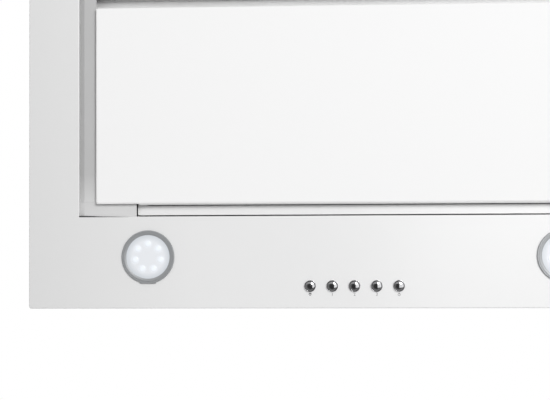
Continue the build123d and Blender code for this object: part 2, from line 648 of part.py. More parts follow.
def fan_wheel():
    """Double-inlet wheel: a centre disc with a hub, curved blades on both sides, two end rings."""
    axis = Axis((0, AXIS_Y, AXIS_Z), (1, 0, 0))
    inner = WHEEL_RADIUS - BLADE_DEPTH
    wheel = rod_x(WHEEL_RADIUS, -WHEEL_DISC / 2, WHEEL_DISC / 2, AXIS_Y, AXIS_Z)
    wheel += rod_x(HUB_RADIUS, WHEEL_DISC / 2, WHEEL_DISC / 2 + HUB_LENGTH, AXIS_Y, AXIS_Z)
    for side in (-1, 1):
        end, back = side * WHEEL_HALF_WIDTH, side * (WHEEL_HALF_WIDTH - END_RING_THICKNESS)
        ring = rod_x(WHEEL_RADIUS, *sorted((end, back)), AXIS_Y, AXIS_Z)
        wheel += ring - rod_x(inner, *sorted((end, back)), AXIS_Y, AXIS_Z)
    blade = block(
        -WHEEL_HALF_WIDTH + END_RING_THICKNESS / 2,
        WHEEL_HALF_WIDTH - END_RING_THICKNESS / 2,
        -BLADE_LENGTH / 2,
        BLADE_LENGTH / 2,
        -BLADE_THICKNESS / 2,
        BLADE_THICKNESS / 2,
    )
    blade = Pos(0, AXIS_Y + (WHEEL_RADIUS + inner) / 2, AXIS_Z) * Rot(BLADE_ANGLE, 0, 0) * blade
    blades = [blade.rotate(axis, 360 * i / BLADE_COUNT) for i in range(BLADE_COUNT)]
    wheel = wheel.fuse(*blades)
    wheel -= rod_x(SHAFT_RADIUS, -WHEEL_DISC, WHEEL_DISC / 2 + HUB_LENGTH, AXIS_Y, AXIS_Z)
    save("fan_wheel", wheel)


def fan_shaft():
    """The motor's shaft, which carries the wheel's hub."""
    x0 = -WHEEL_DISC / 2 - MOTOR_FACE_GAP - SHAFT_GRIP
    x1 = WHEEL_DISC / 2 + HUB_LENGTH
    save("fan_shaft", rod_x(SHAFT_RADIUS, x0, x1, AXIS_Y, AXIS_Z))


def motor_and_bracket():
    """The motor in the left inlet, and the three-armed bracket that holds it to the casing."""
    x1 = -WHEEL_DISC / 2 - MOTOR_FACE_GAP
    x0 = x1 - MOTOR_LENGTH
    motor = rod_x(MOTOR_RADIUS, x0, x1, AXIS_Y, AXIS_Z)
    motor += rod_x(MOTOR_CAP_RADIUS, x0 - MOTOR_CAP_LENGTH, x0, AXIS_Y, AXIS_Z)
    grip = x1 - SHAFT_GRIP - SEAT_GAP
    motor -= rod_x(SHAFT_RADIUS + SHAFT_CLEARANCE, grip, x1, AXIS_Y, AXIS_Z)
    save("motor", motor)
    face = -SCROLL_HALF_WIDTH - INLET_LIP
    band = rod_x(MOTOR_RADIUS + MOTOR_BAND, face - MOTOR_BAND_WIDTH, face, AXIS_Y, AXIS_Z)
    arm = block(face - ARM_THICKNESS, face, -ARM_WIDTH / 2, ARM_WIDTH / 2, 0, INLET_RADIUS + ARM_REACH)
    foot_low = INLET_RADIUS + SCROLL_WALL
    foot = block(
        face, face + INLET_LIP, -ARM_WIDTH / 2, ARM_WIDTH / 2, foot_low, INLET_RADIUS + ARM_REACH
    )
    for i in range(ARM_COUNT):
        turn = Pos(0, AXIS_Y, AXIS_Z) * Rot(360 * i / ARM_COUNT, 0, 0)
        band += turn * (arm + foot)
    band -= rod_x(MOTOR_RADIUS, face - MOTOR_BAND_WIDTH, face, AXIS_Y, AXIS_Z)
    save("motor_bracket", band)


# ---------------------------------------------------------------- suction panel
HINGE_FROM_END = 56.5  # from the plate's end to the hinge's middle
HINGE_FROM_REAR = 19.0  # from the opening's rear edge to the pin
HINGE_RISE = 4.0  # of the pin above the glass
HINGE_PIN_RADIUS = 2.0
HINGE_KNUCKLE_RADIUS = 3.2
HINGE_HALF = 20.0
HINGE_PLATE = 1.5
HINGE_END_GAP = 0.5
HINGE_ARM = 2.0
HINGE_FOOT = 16.0
PIN_HEAD = 1.0
PIN_HEAD_RADIUS = 3.0
HINGE_X = GLASS_HALF - HINGE_FROM_END
HINGE_Y = OPEN_REAR - HINGE_FROM_REAR
HINGE_Z = GLASS_THICKNESS + HINGE_RISE
CARRIER_FLANGE = 13.0
CARRIER_TOP = GLASS_THICKNESS + CARRIER_HEIGHT
STRIKE_THICKNESS = 1.0
MAGNET_WIDTH = 8.0
MAGNET_LENGTH = 20.0
MAGNET_FROM_FRONT = 12.0
MAGNET_FROM_FILTER = 7.0  # from the filter's side to the magnet's middle
MAGNET_X = FILTER_HALF + MAGNET_FROM_FILTER


def panel_glass():
    """The flat enamelled plate that covers the filter, leaving the slots all round."""
    glass = block(-GLASS_HALF, GLASS_HALF, GLASS_FRONT, GLASS_REAR, 0, GLASS_THICKNESS)
    glass = fillet(glass.edges().filter_by(Axis.Z), GLASS_CORNER)
    glass = chamfer(glass.faces().sort_by(Axis.Z)[0].edges(), GLASS_ARRIS)
    save("panel_glass", glass)


def carrier_block(inset, z0, z1):
    """The carrier's outline as a block, drawn in by inset."""
    half = GLASS_HALF - CARRIER_INSET - inset
    y0, y1 = GLASS_FRONT + CARRIER_INSET + inset, GLASS_REAR - CARRIER_INSET - inset
    return block(-half, half, y0, y1, z0, z1)


def panel_carrier():
    """The folded steel pan that stiffens the plate and carries its hinges."""
    base = GLASS_THICKNESS
    pan = carrier_block(0, base, CARRIER_TOP)
    pan -= carrier_block(CARRIER_SHEET, base + CARRIER_SHEET, CARRIER_TOP)
    rim = carrier_block(0, CARRIER_TOP - CARRIER_SHEET, CARRIER_TOP)
    rim -= carrier_block(CARRIER_FLANGE, CARRIER_TOP - CARRIER_SHEET, CARRIER_TOP)
    save("panel_carrier", pan + rim)


def hinges():
    """Two hinges along the plate's rear edge: leaves that move, brackets and pins that stay."""
    leaves, brackets, pins = [], [], []
    carrier_rear = GLASS_REAR - CARRIER_INSET
    bore = HINGE_PIN_RADIUS + PIN_CLEARANCE
    for side in (-1, 1):
        mid = side * HINGE_X
        k0 = mid - HINGE_HALF + HINGE_PLATE + HINGE_END_GAP
        k1 = mid + HINGE_HALF - HINGE_PLATE - HINGE_END_GAP
        leaf = rod_x(HINGE_KNUCKLE_RADIUS, k0, k1, HINGE_Y, HINGE_Z)
        leaf += block(k0, k1, carrier_rear, HINGE_Y, HINGE_Z - HINGE_ARM / 2, HINGE_Z + HINGE_ARM / 2)
        leaf += block(k0, k1, carrier_rear, carrier_rear + HINGE_ARM, GLASS_THICKNESS, CARRIER_TOP)
        leaves.append(leaf - rod_x(bore, k0, k1, HINGE_Y, HINGE_Z))
        foot_z = LIP_TOP - HINGE_PLATE
        y0, y1 = HINGE_Y - HINGE_FOOT / 2, HINGE_Y + HINGE_FOOT / 2
        bracket = block(mid - HINGE_HALF, mid + HINGE_HALF, y0, y1, foot_z, LIP_TOP)
        for x0 in (mid - HINGE_HALF, mid + HINGE_HALF - HINGE_PLATE):
            x1 = x0 + HINGE_PLATE
            ear_y = (HINGE_Y - HINGE_KNUCKLE_RADIUS, HINGE_Y + HINGE_KNUCKLE_RADIUS)
            bracket += block(x0, x1, *ear_y, HINGE_Z, LIP_TOP)
            bracket += rod_x(HINGE_KNUCKLE_RADIUS, x0, x1, HINGE_Y, HINGE_Z)
        p0, p1 = mid - HINGE_HALF, mid + HINGE_HALF
        bracket -= rod_x(HINGE_PIN_RADIUS, p0, p1, HINGE_Y, HINGE_Z)
        brackets.append(bracket)
        pin = rod_x(HINGE_PIN_RADIUS, p0, p1, HINGE_Y, HINGE_Z)
        for x0 in (p0 - PIN_HEAD, p1):
            pin += rod_x(PIN_HEAD_RADIUS, x0, x0 + PIN_HEAD, HINGE_Y, HINGE_Z)
        pins.append(pin)
    save("panel_hinge_leaves", *leaves)
    save("hinge_brackets", *brackets)
    save("hinge_pins", *pins)


def catches():
    """Magnets under the tray and the steel strikes that they hold on the carrier's front flange."""
    strikes, magnets = [], []
    y0 = GLASS_FRONT + CARRIER_INSET + MAGNET_FROM_FRONT - MAGNET_LENGTH / 2
    y1 = y0 + MAGNET_LENGTH
    strike_top = CARRIER_TOP + STRIKE_THICKNESS
    for side in (-1, 1):
        x0, x1 = side * MAGNET_X - MAGNET_WIDTH / 2, side * MAGNET_X + MAGNET_WIDTH / 2
        strikes.append(block(x0, x1, y0, y1, CARRIER_TOP, strike_top))
        magnets.append(block(x0, x1, y0, y1, strike_top + SEAT_GAP, LIP_TOP))
    save("panel_strikes", *strikes)
    save("panel_magnets", *magnets)


# ---------------------------------------------------------------- grease filter
FILTER_SHEET = 1.0
FILTER_TAB_X = 110.0
FILTER_TAB_WIDTH = 30.0
FILTER_TAB_REACH = 6.0
FILTER_TAB = 1.5
LATCH_HALF = 20.0
LATCH_BOX_WALL = 1.0
LATCH_PLATE = 2.0
LATCH_LENGTH = 13.0
LATCH_SET_BACK = 3.0  # from the filter's front to the plate
LATCH_ROOM = 3.0  # behind the plate at full travel
LATCH_RIB = 2.0
LATCH_RIB_HEIGHT = 1.0
BOLT_HALF = 7.5
BOLT_THICKNESS = 2.0
BOLT_REACH = 5.0
BOLT_TRAVEL = 6.0
LATCH_DEPTH = LATCH_SET_BACK + LATCH_LENGTH + BOLT_TRAVEL + LATCH_ROOM
LATCH_LIP = 2.5
LATCH_LIP_THICKNESS = 2.0
LATCH_WEB = 4.0


def filter_block(inset, z0, z1):
    """The filter's outline as a block, drawn in by inset."""
    half = FILTER_HALF - inset
    return block(-half, half, FILTER_FRONT + inset, FILTER_REAR - inset, z0, z1)


def latch_box(grow, z0, z1):
    """The latch's pocket in the filter, as a block."""
    half = LATCH_HALF + grow
    front = FILTER_FRONT + FILTER_SHEET - grow
    return block(-half, half, front, FILTER_FRONT + LATCH_DEPTH + grow, z0, z1)


def grease_filter():
    """A folded aluminium frame with two perforated skins round a pad of mesh."""
    t = FILTER_SHEET
    frame = filter_block(0, FILTER_Z, FILTER_TOP)
    frame -= filter_block(FILTER_RIM, FILTER_Z, FILTER_TOP)
    frame -= filter_block(t, FILTER_Z + t, FILTER_TOP - t)
    frame += latch_box(LATCH_BOX_WALL, FILTER_Z, FILTER_TOP - t)
    frame -= latch_box(0, FILTER_Z, FILTER_TOP - t - LATCH_BOX_WALL)
    rib_top = FILTER_Z + LATCH_RIB_HEIGHT
    for side in (-1, 1):
        rib = sorted((side * LATCH_HALF, side * (LATCH_HALF - LATCH_RIB)))
        y0, y1 = FILTER_FRONT + t, FILTER_FRONT + LATCH_DEPTH
        frame += block(*rib, y0, y1, FILTER_Z, rib_top)
        tab = side * FILTER_TAB_X - FILTER_TAB_WIDTH / 2
        frame += block(
            tab,
            tab + FILTER_TAB_WIDTH,
            FILTER_REAR - t,
            FILTER_REAR + FILTER_TAB_REACH,
            TRAY_TOP,
            TRAY_TOP + FILTER_TAB,
        )
    slot_half = BOLT_HALF + SEAT_GAP
    bolt_z = TRAY_TOP + SEAT_GAP
    frame -= block(
        -slot_half,
        slot_half,
        FILTER_FRONT,
        FILTER_FRONT + t,
        bolt_z - SEAT_GAP,
        bolt_z + BOLT_THICKNESS + SEAT_GAP,
    )
    save("filter_frame", frame)

    low, high = FILTER_Z + t, FILTER_TOP - t
    pocket = latch_box(LATCH_BOX_WALL, low, high)
    core = filter_block(t, low + FILTER_SKIN, high - FILTER_SKIN) - pocket
    save("filter_core", core)
    depth = FILTER_REAR - FILTER_FRONT
    pitch_x = 2 * (FILTER_HALF - FILTER_RIM) / MESH_COLUMNS
    pitch_y = (depth - 2 * FILTER_RIM) / MESH_ROWS
    holes = [
        Pos(
            (i - (MESH_COLUMNS - 1) / 2) * pitch_x,
            FILTER_Y + (j - (MESH_ROWS - 1) / 2) * pitch_y,
        )
        * Rectangle(pitch_x - MESH_RIB, pitch_y - MESH_RIB)
        for i in range(MESH_COLUMNS)
        for j in range(MESH_ROWS)
    ]
    outline = Pos(0, FILTER_Y) * Rectangle(2 * (FILTER_HALF - t), depth - 2 * t)
    skin = extrude(outline - holes, FILTER_SKIN)
    skins = [Pos(0, 0, z) * skin - pocket for z in (low, high - FILTER_SKIN)]
    save("filter_skins", *skins)


def filter_latch():
    """The sprung slide whose bolt rests over the tray's front edge."""
    y0 = FILTER_FRONT + LATCH_SET_BACK
    y1 = y0 + LATCH_LENGTH
    half = LATCH_HALF - SEAT_GAP
    plate_z = FILTER_Z + LATCH_RIB_HEIGHT + SEAT_GAP
    bolt_z = TRAY_TOP + SEAT_GAP
    latch = block(-half, half, y0, y1, plate_z, plate_z + LATCH_PLATE)
    lip_half = half - LATCH_RIB
    latch += block(-lip_half, lip_half, y0, y0 + LATCH_LIP_THICKNESS, FILTER_Z - LATCH_LIP, plate_z)
    latch += block(-BOLT_HALF, BOLT_HALF, y1 - LATCH_WEB, y1, plate_z, bolt_z + BOLT_THICKNESS)
    front = FILTER_FRONT - BOLT_REACH
    latch += block(-BOLT_HALF, BOLT_HALF, front, y1, bolt_z, bolt_z + BOLT_THICKNESS)
    save("filter_latch", latch)


# ---------------------------------------------------------------- lamps
LENS_SEAT = 0.6  # the ring's lip under the lens
LAMP_NECK_HEIGHT = 9.0
LAMP_BEVEL = 0.6
BOARD_RISE = 3.2  # from the lens to the board
BOARD_THICKNESS = 1.2
LED_HEIGHT = 0.9
FIN_COUNT = 12
FIN_CORE = 7.0
FIN_HEIGHT = 9.0
FIN_THICKNESS = 1.2
LAMP_SPRING_WIDTH = 8.0
LAMP_SPRING_SHEET = 0.8
LAMP_SPRING_REACH = 7.0
LAMP_SPRING_BITE = 1.0  # what the leaf's root wraps round the neck


def lamp(name, x):
    """One recessed lamp: ring, lens, lit board and finned body, held by two leaf springs."""
    y = LAMP_Y
    low = FACE_Z - LAMP_PROUD
    ring = disc(LAMP_RADIUS, low, FACE_Z, x, y)
    ring += block(x - LAMP_TAB / 2, x + LAMP_TAB / 2, y - LAMP_RADIUS, y, low, FACE_Z)
    ring = chamfer(ring.faces().sort_by(Axis.Z)[0].edges(), LAMP_BEVEL)
    neck_top = FACE_Z + LAMP_NECK_HEIGHT
    ring += disc(LAMP_NECK_RADIUS, FACE_Z, neck_top, x, y)
    lens_z = low + LENS_SEAT
    ring -= disc(LENS_RADIUS, low, lens_z, x, y) + disc(LAMP_BORE, lens_z, neck_top, x, y)
    save(f"{name}_lamp_ring", ring)
    lens_top = lens_z + LENS_THICKNESS
    save(f"{name}_lamp_lens", disc(LAMP_BORE, lens_z, lens_top, x, y))
    board_z = lens_top + BOARD_RISE
    board = disc(LAMP_BORE, board_z, board_z + BOARD_THICKNESS, x, y)
    for i in range(LED_COUNT):
        spot = Pos(x, y, board_z - LED_HEIGHT / 2) * Rot(0, 0, 90 + 360 * i / LED_COUNT)
        board += spot * Pos(LED_CIRCLE, 0, 0) * Box(LED_SIZE, LED_SIZE, LED_HEIGHT)
    save(f"{name}_lamp_board", board)
    body_z = board_z + BOARD_THICKNESS
    fin_z = neck_top + LAMP_WALL
    body = disc(LAMP_BORE, body_z, neck_top, x, y)
    body += disc(LAMP_NECK_RADIUS, neck_top, fin_z, x, y)
    body += disc(FIN_CORE, fin_z, fin_z + FIN_HEIGHT, x, y)
    for i in range(FIN_COUNT):
        fin = block(0, LAMP_NECK_RADIUS, -FIN_THICKNESS / 2, FIN_THICKNESS / 2, fin_z, fin_z + FIN_HEIGHT)
        body += Pos(x, y, 0) * Rot(0, 0, 360 * i / FIN_COUNT) * fin
    save(f"{name}_lamp_body", body)


def lamp_springs():
    """Two bent leaves on each lamp's neck, pressing on the frame's back."""
    leaves = []
    t = LAMP_SPRING_SHEET
    top = FACE_Z + LAMP_NECK_HEIGHT
    for x in (-LAMP_X, LAMP_X):
        for side in (-1, 1):
            x0 = x + side * LAMP_NECK_RADIUS
            x1 = x0 + side * LAMP_SPRING_REACH
            y0, y1 = LAMP_Y - LAMP_SPRING_WIDTH / 2, LAMP_Y + LAMP_SPRING_WIDTH / 2
            # the bent leaf goes out from the neck's top and back down to the sheet
            points = [
                (x0, top),
                (x1, FACE_BACK + t),
                (x1, FACE_BACK),
                (x1 - side * t, FACE_BACK),
                (x0 + side * t / 2, top - 2 * t),
                (x0 - side * LAMP_SPRING_BITE, top - 2 * t),
                (x0 - side * LAMP_SPRING_BITE, top),
            ]
            face = make_face(Polyline(*[(px, y0, pz) for px, pz in points], close=True))
            leaf = extrude(face, amount=y1 - y0, dir=(0, 1, 0))
            leaves.append(leaf - disc(LAMP_NECK_RADIUS, FACE_Z, top, x, LAMP_Y))
    save("lamp_springs", *leaves)


# ---------------------------------------------------------------- push buttons
STEM_RADIUS = 2.5
STEM_CLEARANCE = 0.1
STEM_LENGTH = 15.0
RING_NECK_HEIGHT = 4.0
BUTTON_STOP = 0.5  # room above the stem at full travel
BUTTON_RING_ROUND = 0.45
TAG_INSET = 12.0
TAG_SPACING = 7.0
TAG_WIDTH = 4.8
TAG_SHEET = 0.8
TAG_HEIGHT = 7.0


def switch_bank():
    """The switch housing behind the buttons, with a bore for each stem."""
    half = SWITCH_HALF
    y0, y1 = BODY_FRONT + BODY_SHEET + SEAT_GAP, BUTTON_Y + SWITCH_BEHIND
    neck = RING_NECK_RADIUS + SEAT_GAP
    neck_top = FACE_BACK + RING_NECK_HEIGHT
    stem_top = stem_end() + BUTTON_TRAVEL + BUTTON_STOP
    roof = stem_top + SWITCH_ROOF
    housing = block(-half, half, y0, y1, FACE_BACK, roof)
    for x in BUTTON_X:
        housing -= disc(neck, FACE_BACK, neck_top, x, BUTTON_Y)
        housing -= disc(STEM_RADIUS + STEM_CLEARANCE, neck_top, stem_top, x, BUTTON_Y)
    for side in (-1, 1):
        tag_mid = side * (half - TAG_INSET)
        tag_x = (tag_mid - TAG_WIDTH / 2, tag_mid + TAG_WIDTH / 2)
        for i in (-1, 1):
            tag_y = (y0 + y1) / 2 + i * TAG_SPACING / 2
            housing += block(*tag_x, tag_y, tag_y + TAG_SHEET, roof, roof + TAG_HEIGHT)
    save("switch_housing", housing)


def stem_end():
    """Height of a button stem's inner end."""
    return FACE_Z - BUTTON_CAP_PROUD + STEM_LENGTH


def button_rings():
    """The five plated rings round the buttons, pressed into the frame's holes."""
    rings = []
    low = FACE_Z - BUTTON_RING_PROUD
    for x in BUTTON_X:
        ring = disc(BUTTON_RING_RADIUS, low, FACE_Z, x, BUTTON_Y)
        ring = fillet(ring.faces().sort_by(Axis.Z)[0].edges(), BUTTON_RING_ROUND)
        neck_top = FACE_BACK + RING_NECK_HEIGHT - SEAT_GAP
        ring += disc(RING_NECK_RADIUS, FACE_Z, neck_top, x, BUTTON_Y)
        rings.append(ring - disc(BUTTON_CAP_RADIUS + BUTTON_GAP, low, neck_top, x, BUTTON_Y))
    save("button_rings", *rings)


def button_caps():
    """Five plated push buttons with crowned faces, each on its own stem."""
    low = FACE_Z - BUTTON_CAP_PROUD
    skirt_top = FACE_BACK + RING_NECK_HEIGHT - BUTTON_TRAVEL - SEAT_GAP
    for number, x in enumerate(BUTTON_X, start=1):
        cap = disc(BUTTON_CAP_RADIUS, low, skirt_top, x, BUTTON_Y)
        ball = (BUTTON_CAP_RADIUS**2 + BUTTON_CROWN**2) / (2 * BUTTON_CROWN)
        cap &= Pos(x, BUTTON_Y, low + ball) * Sphere(ball)
        cap += disc(STEM_RADIUS, low + BUTTON_CROWN, stem_end(), x, BUTTON_Y)
        save(f"button_{number}", cap)


# ---------------------------------------------------------------- electrical boxes
BOX_FROM_SIDE = 78.0  # from the body's side to the box's middle
BOX_FROM_REAR = 66.5
BOX_WIDTH = 92.0
BOX_DEPTH = 58.0
BOX_HEIGHT = 30.0
BOX_WALL = 2.0
LID_THICKNESS = 2.5
LID_LAP = 1.0
BOX_SCREW_INSET = 8.0
BOX_BOSS_RADIUS = 4.5
GROMMET_RADIUS = 8.0
GLAND_BORE = 4.0
GLAND_RADIUS = 7.5
GLAND_FLATS = 20.0
GLAND_NUT_LENGTH = 8.0
GLAND_LENGTH = 20.0
BOX_X = BODY_HALF - BOX_FROM_SIDE
BOX_Y = BODY_REAR - BOX_FROM_REAR


def box_screw_places():
    """The terminal box's screws, in two opposite corners."""
    dx, dy = BOX_WIDTH / 2 - BOX_SCREW_INSET, BOX_DEPTH / 2 - BOX_SCREW_INSET
    return [(BOX_X - dx, BOX_Y - dy), (BOX_X + dx, BOX_Y + dy)]


def terminal_box():
    """The moulded mains box on the top sheet, its lid and its cord gland."""
    x0, x1 = BOX_X - BOX_WIDTH / 2, BOX_X + BOX_WIDTH / 2
    y0, y1 = BOX_Y - BOX_DEPTH / 2, BOX_Y + BOX_DEPTH / 2
    z0, z1 = COLLAR_BASE, COLLAR_BASE + BOX_HEIGHT
    w = BOX_WALL
    gland_z = COLLAR_BASE + BOX_HEIGHT / 2
    box = block(x0, x1, y0, y1, z0, z1) - block(x0 + w, x1 - w, y0 + w, y1 - w, z0 + w, z1)
    box -= disc(GROMMET_RADIUS, z0, z0 + w, BOX_X, BOX_Y)
    for x, y in box_screw_places():
        box += disc(BOX_BOSS_RADIUS, z0, z1, x, y)
        box -= disc(SCREW_RADIUS, z0, z1, x, y)
    box -= rod_y(GLAND_RADIUS, y1 - w, y1, BOX_X, gland_z)
    save("terminal_box", box)
    lid = block(x0 - LID_LAP, x1 + LID_LAP, y0 - LID_LAP, y1 + LID_LAP, z1, z1 + LID_THICKNESS)
    lid = chamfer(lid.faces().sort_by(Axis.Z)[-1].edges(), LID_LAP)
    for x, y in box_screw_places():
        lid -= disc(SCREW_RADIUS, z1, z1 + LID_THICKNESS, x, y)
    save("terminal_lid", lid)
    length = BOX_HEIGHT + LID_THICKNESS + BODY_SHEET
    screws = [pan_screw(x, y, z1 + LID_THICKNESS, length) for x, y in box_screw_places()]
    save("terminal_screws", *screws)
    turn = Pos(BOX_X, y1, gland_z) * Rot(-90, 0, 0)
    nut = turn * extrude(RegularPolygon(GLAND_FLATS / 2, 6, major_radius=False), GLAND_NUT_LENGTH)
    gland = nut + rod_y(GLAND_RADIUS, y1 - w, y1 + GLAND_LENGTH, BOX_X, gland_z)
    save("cord_gland", gland - rod_y(GLAND_BORE, y1 - w, y1 + GLAND_LENGTH, BOX_X, gland_z))


DRIVER_FROM_SIDE = 96.0  # from the body's side to the driver's middle
DRIVER_WIDTH = 84.0
DRIVER_DEPTH = 26.0
DRIVER_HEIGHT = 38.0
DRIVER_RISE = 68.8  # above the face frame
CAPACITOR_FROM_SIDE = 81.0
CAPACITOR_RADIUS = 14.0
CAPACITOR_LENGTH = 54.0
CAPACITOR_STRAP = 1.5
CAPACITOR_STRAP_WIDTH = 9.0
DRIVER_X = BODY_HALF - DRIVER_FROM_SIDE
DRIVER_Z = FACE_BACK + DRIVER_RISE
CAPACITOR_X = -BODY_HALF + CAPACITOR_FROM_SIDE


def led_driver():
    """The lamps' supply, a closed box on the rear wall."""
    wall = BODY_REAR - BODY_SHEET
    x0, x1 = DRIVER_X - DRIVER_WIDTH / 2, DRIVER_X + DRIVER_WIDTH / 2
    z0, z1 = DRIVER_Z - DRIVER_HEIGHT / 2, DRIVER_Z + DRIVER_HEIGHT / 2
    save("led_driver", block(x0, x1, wall - DRIVER_DEPTH, wall, z0, z1))


def run_capacitor():
    """The motor's capacitor and the strap that holds it to the rear wall."""
    wall = BODY_REAR - BODY_SHEET
    y = wall - CAPACITOR_RADIUS - CAPACITOR_STRAP
    x0, x1 = CAPACITOR_X - CAPACITOR_LENGTH / 2, CAPACITOR_X + CAPACITOR_LENGTH / 2
    save("capacitor", rod_x(CAPACITOR_RADIUS, x0, x1, y, DRIVER_Z))
    outer = CAPACITOR_RADIUS + CAPACITOR_STRAP
    s0, s1 = CAPACITOR_X - CAPACITOR_STRAP_WIDTH / 2, CAPACITOR_X + CAPACITOR_STRAP_WIDTH / 2
    strap = rod_x(outer, s0, s1, y, DRIVER_Z)
    strap += block(s0, s1, y, wall, DRIVER_Z - outer, DRIVER_Z + outer)
    save("capacitor_strap", strap - rod_x(CAPACITOR_RADIUS, s0, s1, y, DRIVER_Z))


# ---------------------------------------------------------------- side springs
SPRING_Y = 45.0
SPRING_WIDTH = 24.0
SPRING_SHEET = 1.2
SPRING_ROOT_RISE = 72.0  # above the frame's seat
SPRING_ROOT = 22.0
SPRING_COVER = 4.5  # the frame's edge lies this far outside the spring's bulge
SPRING_BULGE_RISE = 24.0
SPRING_TOE = 5.0
SPRING_TOE_RISE = 10.0
SPRING_BEND = 4.0
SPRING_RIVET_DROP = 9.0
SPRING_RIVET_SPACING = 12.0


def side_springs():
    """Four leaf springs that hold the hood in the canopy's cut-out."""
    springs = []
    t = SPRING_SHEET
    root_z = SEAT_Z + SPRING_ROOT_RISE
    bulge = SIDE_OVERLAP - SPRING_COVER
    for side in (-1, 1):
        wall = side * BODY_HALF
        line = [
            (wall + side * t / 2, root_z),
            (wall + side * t / 2, root_z - SPRING_ROOT),
            (wall + side * (bulge - t / 2), SEAT_Z + SPRING_BULGE_RISE),
            (wall + side * SPRING_TOE, SEAT_Z + SPRING_TOE_RISE),
        ]
        for y in (-SPRING_Y, SPRING_Y):
            path = FilletPolyline(*[(x, y, z) for x, z in line], radius=SPRING_BEND)
            section = Plane(origin=(line[0][0], y, line[0][1]), x_dir=(1, 0, 0), z_dir=(0, 0, -1))
            leaf = sweep(section * Rectangle(t, SPRING_WIDTH), path=path)
            springs.append(leaf)
            z = root_z - SPRING_RIVET_DROP
            head_x = sorted((wall + side * t, wall + side * (t + RIVET_HEAD)))
            for k in (-1, 1):
                head_y = y + k * SPRING_RIVET_SPACING / 2
                springs.append(rod_x(RIVET_HEAD_RADIUS, *head_x, head_y, z))
    save("side_springs", *springs)


face_frame()
flange_nuts()
intake_tray()
front_strip()
strip_rivets()
front_sheet()
rear_sheet()
side_sheets()
side_rivets()
top_sheet()
outlet_collar()
flap_pin()
flaps()
scroll_halves()
fan_wheel()
fan_shaft()
motor_and_bracket()
panel_glass()
panel_carrier()
hinges()
catches()
grease_filter()
filter_latch()
for lamp_name, lamp_x in (("left", -LAMP_X), ("right", LAMP_X)):
    lamp(lamp_name, lamp_x)
lamp_springs()
switch_bank()
button_rings()
button_caps()
terminal_box()
led_driver()
run_capacitor()
side_springs()
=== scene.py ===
"""Looks of a built-in range hood insert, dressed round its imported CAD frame.

Units are metres. The hood hangs face down: +Z is up, its front is towards -Y and its right,
as the cook sees it, is +X. Lengths are written in millimetres times MM, or as plain metres.
"""

import logging
import math
import sys
from contextlib import contextmanager
from dataclasses import dataclass
from enum import Enum
from typing import Callable, Iterable, Iterator, Mapping, Sequence, Union

import bpy
from mathutils import Matrix, Vector

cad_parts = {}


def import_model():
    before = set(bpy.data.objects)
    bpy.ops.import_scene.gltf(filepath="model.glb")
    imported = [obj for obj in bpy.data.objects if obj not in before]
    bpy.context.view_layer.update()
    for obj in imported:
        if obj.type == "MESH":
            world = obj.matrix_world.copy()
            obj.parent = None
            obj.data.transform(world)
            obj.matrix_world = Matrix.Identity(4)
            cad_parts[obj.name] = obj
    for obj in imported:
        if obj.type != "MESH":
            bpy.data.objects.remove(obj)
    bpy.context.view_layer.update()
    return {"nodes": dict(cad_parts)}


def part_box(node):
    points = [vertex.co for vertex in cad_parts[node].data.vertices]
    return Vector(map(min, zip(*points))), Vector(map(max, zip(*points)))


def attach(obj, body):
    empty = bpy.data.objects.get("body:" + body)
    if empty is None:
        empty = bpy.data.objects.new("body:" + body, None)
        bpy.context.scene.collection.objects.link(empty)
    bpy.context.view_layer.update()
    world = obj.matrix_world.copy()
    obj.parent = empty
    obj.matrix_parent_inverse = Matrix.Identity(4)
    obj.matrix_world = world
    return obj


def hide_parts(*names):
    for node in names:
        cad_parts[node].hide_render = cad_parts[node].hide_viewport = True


LOG = logging.getLogger("hood")
MM = 0.001
SMOOTH_ANGLE = math.radians(32)
SAME = 1e-6  # points closer than this are one
NOISE_BAND = (0.3, 0.7)  # where most of a noise texture's values lie

Colour = tuple[float, float, float]
Point = Sequence[float]
Socket = bpy.types.NodeSocket
Value = Union[float, Colour, Sequence[float], Socket]


class Body(Enum):
    """The CAD bodies that pieces ride on."""

    HOOD = "hood"
    PANEL = "panel"
    FRONT_FLAP = "front_flap"
    REAR_FLAP = "rear_flap"


